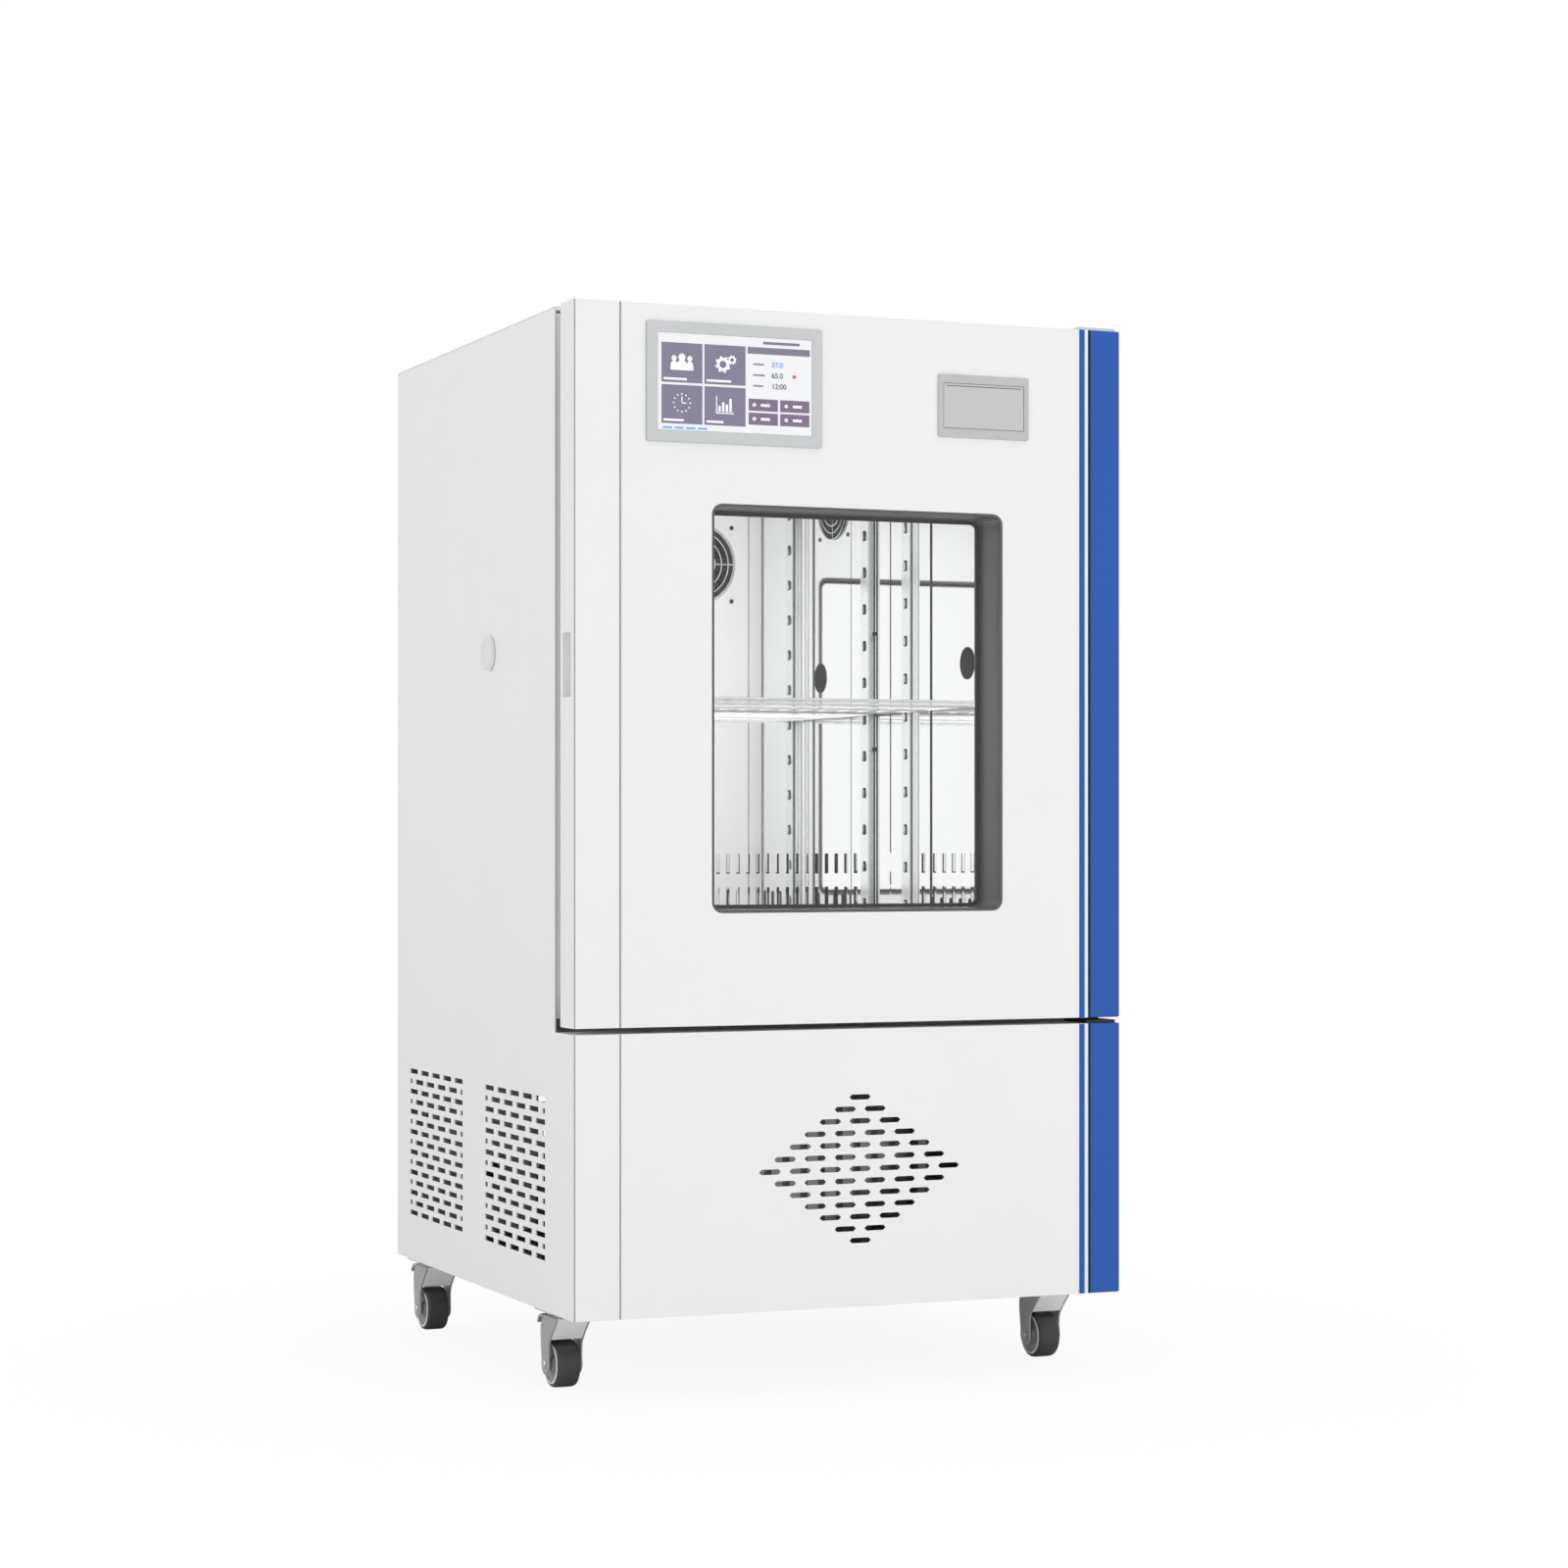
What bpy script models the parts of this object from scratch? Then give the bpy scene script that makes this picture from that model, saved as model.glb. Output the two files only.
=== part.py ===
"""Humidity incubator: a floor-standing climate cabinet with a windowed door over a machine bay, on casters.

Metres, +Z up. The front faces -Y, and +X is to the right as seen from the front.
The origin is on the floor under the middle of the whole object.
"""

import math

import bmesh
import bpy
from mathutils import Matrix, Vector

# Overall body
WIDTH = 0.788
DEPTH = 0.795
HEIGHT = 1.310  # without the casters
CASTER_HEIGHT = 0.108
SHEET = 0.002
GAP = 0.0003  # between pieces that rest on each other
BEZEL_PROUD = 0.004  # how far the display bezel stands out of the door

# Door
DOOR_BOTTOM = 0.375  # above the underside of the body
DOOR_THICK = 0.052
DOOR_SKIN = 0.003
DOOR_BACK = 0.074  # from the front of the door to the face that its gasket seals on
BLUE_WIDTH = 0.048
BLUE_STEP = 0.0015
TRIM_DEEP = 0.020
SEAM_FROM_LEFT = 0.063
SEAM_WIDTH = 0.0016
SEAM_DEEP = 0.001
LINER_THICK = 0.0022
LINER_INSET = 0.006
GASKET_INSET = 0.030
GASKET_WIDE = 0.021
DYKE_DEEP = 0.022  # how far the door liner's raised field reaches into the chamber's mouth
DYKE_CLEAR = 0.014

# Window
WINDOW_LEFT = 0.191
WINDOW_RIGHT = 0.610
WINDOW_LOW = 0.522
WINDOW_FROM_TOP = 0.256
WINDOW_HIGH = HEIGHT - WINDOW_FROM_TOP
WINDOW_CORNER = 0.014
FRAME_WALL = 0.003
GLASS = 0.005
GLASS_RECESS = 0.008

# Finger recess in the door's left edge
PULL_LOW = 0.801
PULL_HIGH = 0.884
PULL_FRONT = 0.010
PULL_BACK = 0.042
PULL_DEEP = 0.018

# Display and printer, on the front of the door
BEZEL_CORNER = 0.003
BEZEL_LEFT = 0.099
BEZEL_WIDE = 0.246
BEZEL_FROM_TOP = 0.022
BEZEL_TALL = 0.156
BEZEL_HIGH = HEIGHT - BEZEL_FROM_TOP
BEZEL_LOW = BEZEL_HIGH - BEZEL_TALL
SCREEN_WIDE = 0.216
SCREEN_HIGH = 0.126
PRINTER_LEFT = 0.514
PRINTER_WIDE = 0.134
PRINTER_FROM_TOP = 0.071
PRINTER_TALL = 0.084
PRINTER_HIGH = HEIGHT - PRINTER_FROM_TOP
PRINTER_LOW = PRINTER_HIGH - PRINTER_TALL
COVER_WIDE = 0.120
COVER_HIGH = 0.061
COVER_CLEAR = 0.0006
COVER_CLEAR_LOW = 0.0012
COVER_AXIS_PROUD = 0.0020
COVER_AXIS_UP = 0.0019

# Lower front
PANEL_TOP = 0.367
VENT_MIDDLE = 0.401
VENT_LEVEL = 0.182
VENT_ROWS = 13
VENT_PITCH = 0.043
VENT_ROW_PITCH = 0.0158
VENT_LONG = 0.031
VENT_TALL = 0.007

# Side vents
SIDE_VENT_FRONTS = (0.113, 0.473)
SIDE_VENT_LOW = 0.066
SIDE_VENT_ROWS = 15
SIDE_VENT_ROW_PITCH = 0.0148
SIDE_VENT_PITCH = 0.0545
SIDE_VENT_LONG = 0.038
SIDE_VENT_TALL = 0.007
SIDE_VENT_COUNT = 5

# Vents in the back of the machine bay
BACK_VENT_ROWS = 8
BACK_VENT_LEFT = 0.22
BACK_VENT_LOW = 0.09
BACK_VENT_LONG = 0.160
BACK_VENT_TALL = 0.008
BACK_VENT_PITCH = 0.026

# Chamber
WALL = 0.064  # liner's inner face to the outside, at the sides
CHAMBER_FLOOR = 0.450
CEILING = 0.075  # liner's inner face to the outside, at the roof
CHAMBER_TOP = HEIGHT - CEILING
CHAMBER_BACK = 0.700
DUCT_FRONT = 0.617
LINER = 0.0015
INSULATION_FLOOR = 0.385
PORT_FROM_FRONT = 0.347
PORT_LEVEL = 0.872
PORT_RADIUS = 0.022
PLUG_FACE = 0.018
PLUG_FLANGE = 0.0245
PLUG_EDGE = 0.002
PLUG_PROUD = 0.008
FAN_FROM_LEFT = 0.409
FAN_LEVEL = 1.026
FAN_RADIUS = 0.0575
FAN_SIDE = 0.120
FAN_DEEP = 0.025
FAN_HUB = 0.020
FAN_TIP_CLEAR = 0.003
FAN_BLADES = 7
ROTOR_FROM_FRONT = 0.0095  # middle of the rotor, behind the front of its frame
ROTOR_DEEP = 0.012
DUCT_SLOT_LEVELS = (0.530, 0.580)
DUCT_SLOT_TALL = 0.030
DUCT_SLOT_WIDE = 0.006
DUCT_SLOT_PITCH = 0.016
DUCT_SLOTS = 35
GUARD_WIRE = 0.0012
GUARD_OUT = 0.006  # how far the guard's cross reaches past its outer ring
FAN_ARM = 0.003
BLADE_SLANT = math.radians(28)
RAIL_FROM_FRONTS = (0.241, 0.541)
RAIL_WIDE = 0.028
RAIL_DEEP = 0.010
RAIL_SHEET = 0.0015
RAIL_END = 0.030  # from the chamber's floor and top
RAIL_SLOTS = 12
RAIL_SLOT_PITCH = 0.0565
RAIL_SLOT_WIDE = 0.012
RAIL_SLOT_TALL = 0.016
EVAPORATOR_FROM_WALL = 0.050
EVAPORATOR_DEEP = 0.045
EVAPORATOR_LOW = 0.620
EVAPORATOR_HIGH = 0.880
SHELF_LEVEL = 0.808
SHELF_FRONT = 0.154
SHELF_WIRE = 0.003
SHELF_BARS = 17

# Machine bay
CONDENSER_WIDE = 0.260
CONDENSER_FRONT = 0.100
CONDENSER_DEEP = 0.045
CONDENSER_TOP = 0.300
SHROUD_DEEP = 0.060
BAY_FAN_RADIUS = 0.092
BAY_FAN_CLEAR = 0.006
BAY_FAN_DEEP = 0.020
BAY_FAN_HUB = 0.030
BAY_FAN_SHAFT = 0.012
BAY_FAN_BLADES = 5
FINS = 10
FIN_END = 0.012
COMPRESSOR_PLACE = (0.215, 0.540)
COMPRESSOR_PROFILE = (  # (radius, height), with its foot, waist and domed top
    (0.0, 0.187), (0.022, 0.186), (0.050, 0.178), (0.072, 0.158), (0.080, 0.125), (0.080, 0.022), (0.072, 0.012),
    (0.072, 0.004), (0.085, 0.004), (0.085, 0.0), (0.0, 0.0),
)
TANK_LOW = (0.500, 0.500)
TANK_HIGH = (0.660, 0.660, 0.240)
CONTROL_FROM_SIDE = 0.048
CONTROL_WIDE = 0.140
CONTROL_LOW = (WIDTH - CONTROL_FROM_SIDE - CONTROL_WIDE, 0.220)
CONTROL_HIGH = (WIDTH - CONTROL_FROM_SIDE, 0.400, 0.300)
INLET_LEFT = 0.100
INLET_LOW = 0.100
INLET_WIDE = 0.048
INLET_TALL = 0.030
INLET_DEEP = 0.022

# Casters
PLATE_LONG = 0.070
PLATE_WIDE = 0.060
PLATE_THICK = 0.0035
SWIVEL_RADIUS = 0.017
WHEEL_RADIUS = 0.0315
WHEEL_OFFSET = 0.020
TYRE_WIDE = 0.028
TYRE_ROUND = 20
HUB_RADIUS = 0.0235
AXLE_RADIUS = 0.004
CASTER_FROM_SIDE = 0.040
CASTER_FROM_FRONT = 0.141
CASTER_FROM_BACK = 0.067
FORK_WIDE = 0.043
FORK_WALL = 0.0028
FORK_TOP = 0.0965
FORK_CROWN = 0.004
PEDAL_WIDE = 0.030
PEDAL_PIVOT = (0.018, 0.082)  # along Y from the swivel axis, and above the floor
PEDAL_PIN = 0.0025

# Hinge
HINGE_FROM_RIGHT = 0.024
HINGE_FROM_FRONT = 0.027
HINGE_PIN = 0.005
HINGE_PLATE = 0.004
HINGE_REACH = 0.018  # of the pin into the door
HINGE_WIDE = 0.060
HINGE_INSET = 0.004
HINGE_FRONT = 0.006
HINGE_BACK = 0.150
RUN_CLEAR = 0.0006

FRONT_Y = -(DEPTH + BEZEL_PROUD) / 2 + BEZEL_PROUD
LEFT_X = -WIDTH / 2
CASTER_PLACES = {
    "front_left": (LEFT_X + CASTER_FROM_SIDE, FRONT_Y + CASTER_FROM_FRONT),
    "rear_left": (LEFT_X + CASTER_FROM_SIDE, FRONT_Y + DEPTH - CASTER_FROM_BACK),
    "front_right": (-LEFT_X - CASTER_FROM_SIDE, FRONT_Y + CASTER_FROM_FRONT),
    "rear_right": (-LEFT_X - CASTER_FROM_SIDE, FRONT_Y + DEPTH - CASTER_FROM_BACK),
}
ROUND = 16  # sides of most round shapes
WIDE_ROUND = 28  # sides of a fan's opening
TURN = {"X": Matrix.Rotation(math.pi / 2, 4, "Y"), "Y": Matrix.Rotation(-math.pi / 2, 4, "X"), "Z": Matrix()}


def at(across, behind, above):
    """A point from its distance right of the left side, behind the front and above the body's underside."""
    return Vector((LEFT_X + across, FRONT_Y + behind, CASTER_HEIGHT + above))


def material(name, colour, roughness, metallic=0.0, alpha=1.0):
    made = bpy.data.materials.new(name)
    made.use_nodes = True
    shader = made.node_tree.nodes["Principled BSDF"]
    shader.inputs["Base Color"].default_value = (*colour, 1.0)
    shader.inputs["Roughness"].default_value = roughness
    shader.inputs["Metallic"].default_value = metallic
    shader.inputs["Alpha"].default_value = alpha
    return made


def clear_scene():
    for old in list(bpy.data.objects):
        bpy.data.objects.remove(old)


clear_scene()
PARTS = bpy.data.collections.new("humidity_incubator")
CUTTERS = bpy.data.collections.new("cutters")
bpy.context.scene.collection.children.link(PARTS)
bpy.context.scene.collection.children.link(CUTTERS)

WHITE = material("white_paint", (0.86, 0.86, 0.86), 0.35)
BLUE = material("blue_paint", (0.035, 0.125, 0.45), 0.35)
STAINLESS = material("stainless", (0.75, 0.76, 0.77), 0.2, 1.0)
ZINC = material("zinc", (0.62, 0.64, 0.66), 0.3, 1.0)
FOAM = material("foam", (0.85, 0.80, 0.62), 0.9)
DARK_FRAME = material("dark_frame", (0.12, 0.12, 0.12), 0.5)
CLEAR_GLASS = material("clear_glass", (0.9, 0.95, 0.95), 0.02, 0.0, 0.25)
RUBBER = material("rubber", (0.25, 0.25, 0.25), 0.7)
BEZEL_GREY = material("bezel_grey", (0.62, 0.66, 0.66), 0.4)
SCREEN = material("screen", (0.55, 0.55, 0.62), 0.15)
PRINTER_GREY = material("printer_grey", (0.58, 0.58, 0.58), 0.4)
BLACK = material("black_paint", (0.02, 0.02, 0.02), 0.5)
FAN_BLACK = material("fan_black", (0.03, 0.03, 0.03), 0.5)
TYRE = material("tyre", (0.05, 0.05, 0.05), 0.6)
HUB_GREY = material("hub_grey", (0.72, 0.72, 0.72), 0.4)
PLUG_WHITE = material("plug_white", (0.85, 0.85, 0.85), 0.5)


def add_object(name, mesh, paint, collection=PARTS):
    made = bpy.data.objects.new(name, mesh)
    collection.objects.link(made)
    if paint is not None:
        mesh.materials.append(paint)
    return made


def smooth_round(mesh):
    """Shades a round mesh smooth, and keeps its real edges sharp."""
    mesh.shade_smooth()
    mesh.set_sharp_from_angle(angle=math.radians(35))


def as_cutter(made):
    PARTS.objects.unlink(made)
    CUTTERS.objects.link(made)
    made.hide_render = True
    made.display_type = "WIRE"
    return made


def boolean(made, cutter, operation="DIFFERENCE", self_union=False):
    """Applies one Boolean with a cutter to a piece, and keeps the cutter as a helper."""
    step = made.modifiers.new(operation.lower(), "BOOLEAN")
    step.operation = operation
    step.object = cutter
    step.use_self = self_union
    if cutter.name in PARTS.objects:
        as_cutter(cutter)
    return made


def add_boxes(geometry, spans):
    for low, high in spans:
        low, high = Vector(low), Vector(high)
        middle = Matrix.Translation((low + high) / 2)
        bmesh.ops.create_cube(geometry, size=1.0, matrix=middle @ Matrix.Diagonal((*(high - low), 1.0)))


def boxes(name, spans, paint=None):
    """One object from boxes, each given by its lowest and highest corner."""
    geometry = bmesh.new()
    add_boxes(geometry, spans)
    mesh = bpy.data.meshes.new(name)
    geometry.to_mesh(mesh)
    geometry.free()
    return add_object(name, mesh, paint)


def box(name, low, high, paint=None, bevel=0.0, segments=2):
    made = boxes(name, [(low, high)], paint)
    if bevel:
        rounding = made.modifiers.new("bevel", "BEVEL")
        rounding.width = bevel
        rounding.segments = segments
    return made


def hollow(name, outer, inner, paint):
    """A box with a box-shaped cut, given as two (low, high) pairs."""
    made = boxes(name, [outer], paint)
    return boolean(made, boxes(name + "_cut", [inner]))


def rod(name, middle, axis, radius, length, paint=None, sides=ROUND):
    """A cylinder about a point, along axis X, Y or Z."""
    geometry = bmesh.new()
    bmesh.ops.create_cone(
        geometry, cap_ends=True, segments=sides, radius1=radius, radius2=radius, depth=length,
        matrix=Matrix.Translation(middle) @ TURN[axis],
    )
    mesh = bpy.data.meshes.new(name)
    geometry.to_mesh(mesh)
    geometry.free()
    smooth_round(mesh)
    return add_object(name, mesh, paint)


def turned(name, profile, middle, axis, paint, sides=ROUND):
    """A solid turned from a closed profile of (radius, along) points, about an axis through middle."""
    geometry = bmesh.new()
    corners = [geometry.verts.new((radius, 0.0, along)) for radius, along in profile]
    for first, second in zip(corners, corners[1:]):
        geometry.edges.new((first, second))
    if profile[0][0] > 0.0:
        geometry.edges.new((corners[-1], corners[0]))
    mesh = bpy.data.meshes.new(name)
    geometry.to_mesh(mesh)
    geometry.free()
    made = add_object(name, mesh, paint)
    made.matrix_world = Matrix.Translation(middle) @ TURN[axis]
    spin = made.modifiers.new("spin", "SCREW")
    spin.steps = sides
    spin.render_steps = sides
    spin.use_smooth_shade = True
    spin.use_merge_vertices = True
    spin.merge_threshold = 0.00001
    return made


def outline(name, points, thickness, matrix, paint):
    """A flat closed outline, extruded to a thickness about its own plane and made a mesh."""
    curve = bpy.data.curves.new(name, "CURVE")
    curve.dimensions = "2D"
    curve.fill_mode = "BOTH"
    curve.extrude = thickness / 2
    spline = curve.splines.new("POLY")
    spline.points.add(len(points) - 1)
    for corner, (x, y) in zip(spline.points, points):
        corner.co = (x, y, 0.0, 1.0)
    spline.use_cyclic_u = True
    drawn = bpy.data.objects.new(name + "_curve", curve)
    PARTS.objects.link(drawn)
    drawn.matrix_world = matrix
    bpy.context.view_layer.update()
    mesh = bpy.data.meshes.new_from_object(drawn.evaluated_get(bpy.context.evaluated_depsgraph_get()))
    mesh.name = name
    geometry = bmesh.new()
    geometry.from_mesh(mesh)
    bmesh.ops.remove_doubles(geometry, verts=geometry.verts, dist=0.000001)
    bmesh.ops.recalc_face_normals(geometry, faces=geometry.faces)
    geometry.to_mesh(mesh)
    geometry.free()
    bpy.data.objects.remove(drawn)
    mesh.materials.clear()
    smooth_round(mesh)
    made = add_object(name, mesh, paint)
    made.matrix_world = matrix
    return made


def arc(centre, radius, start, end, steps):
    """Points along an arc, in degrees."""
    turns = [math.radians(start + (end - start) * k / steps) for k in range(steps + 1)]
    return [(centre[0] + radius * math.cos(t), centre[1] + radius * math.sin(t)) for t in turns]


def rounded_rectangle(left, low, right, high, radius, steps=4):
    return (
        arc((right - radius, high - radius), radius, 0, 90, steps)
        + arc((left + radius, high - radius), radius, 90, 180, steps)
        + arc((left + radius, low + radius), radius, 180, 270, steps)
        + arc((right - radius, low + radius), radius, 270, 360, steps)
    )


def facing_front(behind):
    """Turns an outline drawn as (across, above) to stand in a plane that far behind the front."""
    return Matrix.Translation(at(0.0, behind, 0.0)) @ Matrix.Rotation(math.pi / 2, 4, "X")


def facing_side(x):
    """Turns an outline drawn as (behind, above) to stand in a plane across the X axis."""
    stand = Matrix(((0, 0, 1, 0), (1, 0, 0, 0), (0, 1, 0, 0), (0, 0, 0, 1)))
    return Matrix.Translation((x, FRONT_Y, CASTER_HEIGHT)) @ stand


def body_box(name, low, high, paint=None, bevel=0.0, segments=2):
    return box(name, at(*low), at(*high), paint, bevel, segments)


def window_cut(name, margin, front, back):
    """A cutter for the window, wider than the glass opening by a margin."""
    points = rounded_rectangle(
        WINDOW_LEFT - margin, WINDOW_LOW - margin, WINDOW_RIGHT + margin, WINDOW_HIGH + margin,
        WINDOW_CORNER + margin,
    )
    return outline(name, points, back - front, facing_front((front + back) / 2), None)


# Cabinet shell


def side_vent_cuts(name, x):
    """The slots of both vent fields: rows of five, and between them rows of four with a half at each end."""
    spans = []
    field = (SIDE_VENT_COUNT - 1) * SIDE_VENT_PITCH + SIDE_VENT_LONG
    for front in SIDE_VENT_FRONTS:
        for row in range(SIDE_VENT_ROWS):
            low = SIDE_VENT_LOW + row * SIDE_VENT_ROW_PITCH
            shift = (row % 2) * SIDE_VENT_PITCH / 2
            for k in range(-(row % 2), SIDE_VENT_COUNT):
                start = max(k * SIDE_VENT_PITCH + shift, 0.0)
                end = min(k * SIDE_VENT_PITCH + shift + SIDE_VENT_LONG, field)
                if end - start > SIDE_VENT_TALL:
                    spans.append((
                        (x - SHEET * 2, FRONT_Y + front + start, CASTER_HEIGHT + low),
                        (x + SHEET * 2, FRONT_Y + front + end, CASTER_HEIGHT + low + SIDE_VENT_TALL),
                    ))
    return boxes(name, spans)


def side_panel(name, sign, front):
    """An L-shaped sheet: full depth at the machine bay, and set back behind the door above it."""
    points = [
        (front, 0.0), (DEPTH, 0.0), (DEPTH, HEIGHT - SHEET - GAP),
        (DOOR_BACK, HEIGHT - SHEET - GAP), (DOOR_BACK, PANEL_TOP), (front, PANEL_TOP),
    ]
    x = sign * (WIDTH / 2 - SHEET / 2)
    made = outline(name, points, SHEET, facing_side(x), WHITE)
    if sign < 0:
        boolean(made, side_vent_cuts(name + "_vents", x))
    centre = at(0.0, PORT_FROM_FRONT, PORT_LEVEL)
    boolean(made, rod(name + "_port", (x, centre.y, centre.z), "X", PORT_RADIUS + GAP, SHEET * 4))
    return made


def cabinet_shell():
    side_panel("left_side_panel", -1, SHEET + GAP)
    side_panel("right_side_panel", 1, TRIM_DEEP + GAP)
    body_box("top_cover", (0.0, DOOR_BACK, HEIGHT - SHEET), (WIDTH, DEPTH, HEIGHT), WHITE)
    inside = SHEET + GAP
    back = body_box("back_panel", (inside, DEPTH - SHEET, 0.0), (WIDTH - inside, DEPTH, HEIGHT - inside), WHITE)
    spans = []
    for row in range(BACK_VENT_ROWS):
        for k in range(2):
            left = BACK_VENT_LEFT + k * (BACK_VENT_LONG + BACK_VENT_TALL * 3)
            low = BACK_VENT_LOW + row * BACK_VENT_PITCH
            spans.append((
                at(left, DEPTH - 3 * SHEET, low),
                at(left + BACK_VENT_LONG, DEPTH + SHEET, low + BACK_VENT_TALL),
            ))
    boolean(back, boxes("back_vents", spans))
    floor_high = SHEET * 1.5
    rim = 0.028
    lip = (inside, TRIM_DEEP + GAP, 0.0)
    tray = (at(*lip), at(WIDTH - inside, DEPTH - inside, rim))
    room = (at(inside + SHEET, TRIM_DEEP + GAP + SHEET, floor_high),
            at(WIDTH - inside - SHEET, DEPTH - inside - SHEET, rim + SHEET))
    hollow("base_frame", tray, room, ZINC)


def slot_row(name, centres, long, tall, front, back):
    """Round-ended slots as one cutter, each end an arc of a few points."""
    geometry = bmesh.new()
    for across, above in centres:
        half = long / 2 - tall / 2
        ends = arc((half, 0), tall / 2, -90, 90, 2) + arc((-half, 0), tall / 2, 90, 270, 2)
        face = geometry.faces.new([geometry.verts.new(at(across + x, front, above + z)) for x, z in ends])
        pushed = bmesh.ops.extrude_face_region(geometry, geom=[face])
        moved = [g for g in pushed["geom"] if isinstance(g, bmesh.types.BMVert)]
        bmesh.ops.translate(geometry, verts=moved, vec=(0.0, back - front, 0.0))
    bmesh.ops.recalc_face_normals(geometry, faces=geometry.faces)
    mesh = bpy.data.meshes.new(name)
    geometry.to_mesh(mesh)
    geometry.free()
    return add_object(name, mesh, None)


def lower_front():
    """The bent sheet over the machine bay, with its diamond of slots, and the blue trim beside it."""
    right = WIDTH - BLUE_WIDTH
    bottom = 0.0
    panel = boxes("lower_front_panel", [(at(0.0, 0.0, bottom), at(right - GAP, SHEET, PANEL_TOP))], WHITE)
    ledge = boxes("lower_ledge", [
        (at(SHEET + GAP, SHEET / 2, PANEL_TOP - SHEET), at(right - GAP, DOOR_BACK - GAP, PANEL_TOP)),
    ])
    boolean(panel, ledge, "UNION")
    flange = boxes("lower_flange", [
        (at(SHEET + GAP, SHEET / 2, bottom), at(right - GAP - SHEET, TRIM_DEEP, bottom + SHEET)),
    ])
    boolean(panel, flange, "UNION")
    behind_trim = boxes("trim_ledge", [(
        at(right - SHEET, TRIM_DEEP + GAP, PANEL_TOP - SHEET),
        at(WIDTH - SHEET - GAP, DOOR_BACK - GAP, PANEL_TOP),
    )])
    boolean(panel, behind_trim, "UNION")
    centres = []
    half = VENT_ROWS // 2
    for row in range(-half, half + 1):
        count = half + 1 - abs(row)
        level = VENT_LEVEL + row * VENT_ROW_PITCH
        for k in range(count):
            centres.append((VENT_MIDDLE + (k - (count - 1) / 2) * VENT_PITCH, level))
    boolean(panel, slot_row("diamond_vents", centres, VENT_LONG, VENT_TALL, -SHEET, 2 * SHEET))
    groove = boxes("panel_seam", [
        (at(SEAM_FROM_LEFT, -SHEET, -SHEET), at(SEAM_FROM_LEFT + SEAM_WIDTH, SEAM_DEEP, PANEL_TOP + SHEET)),
    ])
    boolean(panel, groove)
    box("lower_blue_trim", at(right, BLUE_STEP / 2, bottom), at(WIDTH, TRIM_DEEP, PANEL_TOP), BLUE, 0.0012, 1)


# Chamber


def chamber():
    """Foam block and liner, both open to the front, with the round ports through the side walls."""
    inside = SHEET + GAP
    foam_inside = inside + GAP
    flange_back = DOOR_BACK + LINER
    outer = (
        at(foam_inside, flange_back + GAP, INSULATION_FLOOR),
        at(WIDTH - foam_inside, DEPTH - foam_inside, HEIGHT - foam_inside),
    )
    room = (
        at(WALL - LINER - GAP, DOOR_BACK, CHAMBER_FLOOR - LINER - GAP),
        at(WIDTH - WALL + LINER + GAP, CHAMBER_BACK + LINER + GAP, CHAMBER_TOP + LINER + GAP),
    )
    foam = hollow("insulation", outer, room, FOAM)
    flange = (at(inside, DOOR_BACK, INSULATION_FLOOR), at(WIDTH - inside, flange_back, HEIGHT - inside))
    tub = (
        at(WALL - LINER, DOOR_BACK + LINER / 2, CHAMBER_FLOOR - LINER),
        at(WIDTH - WALL + LINER, CHAMBER_BACK + LINER, CHAMBER_TOP + LINER),
    )
    hole = (at(WALL, DOOR_BACK - SHEET, CHAMBER_FLOOR), at(WIDTH - WALL, CHAMBER_BACK, CHAMBER_TOP))
    liner = boxes("inner_liner", [flange], STAINLESS)
    boolean(liner, boxes("liner_tub", [tub]), "UNION")
    boolean(liner, boxes("liner_room", [hole]))
    port = at(WIDTH / 2, PORT_FROM_FRONT, PORT_LEVEL)
    boolean(foam, rod("foam_port", port, "X", PORT_RADIUS + GAP, WIDTH + SHEET))
    boolean(liner, rod("liner_port", port, "X", PORT_RADIUS + GAP, WIDTH + SHEET))
    length = WALL + PLUG_PROUD
    profile = [
        (0.0, 0.0), (PLUG_FACE, 0.0), (PLUG_FLANGE - PLUG_EDGE, PLUG_EDGE), (PLUG_FLANGE, PLUG_PROUD - GAP),
        (PORT_RADIUS - GAP, PLUG_PROUD - GAP), (PORT_RADIUS - GAP, length), (0.0, length),
    ]
    for name, sign in (("port_plug_left", -1), ("port_plug_right", 1)):
        start = Vector((sign * (WIDTH / 2 + PLUG_PROUD), port.y, port.z))
        made = turned(name, [(r, -along) for r, along in profile], start, "X", PLUG_WHITE)
        if sign < 0:
            made.matrix_world = made.matrix_world @ Matrix.Rotation(math.pi, 4, "Y")


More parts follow.
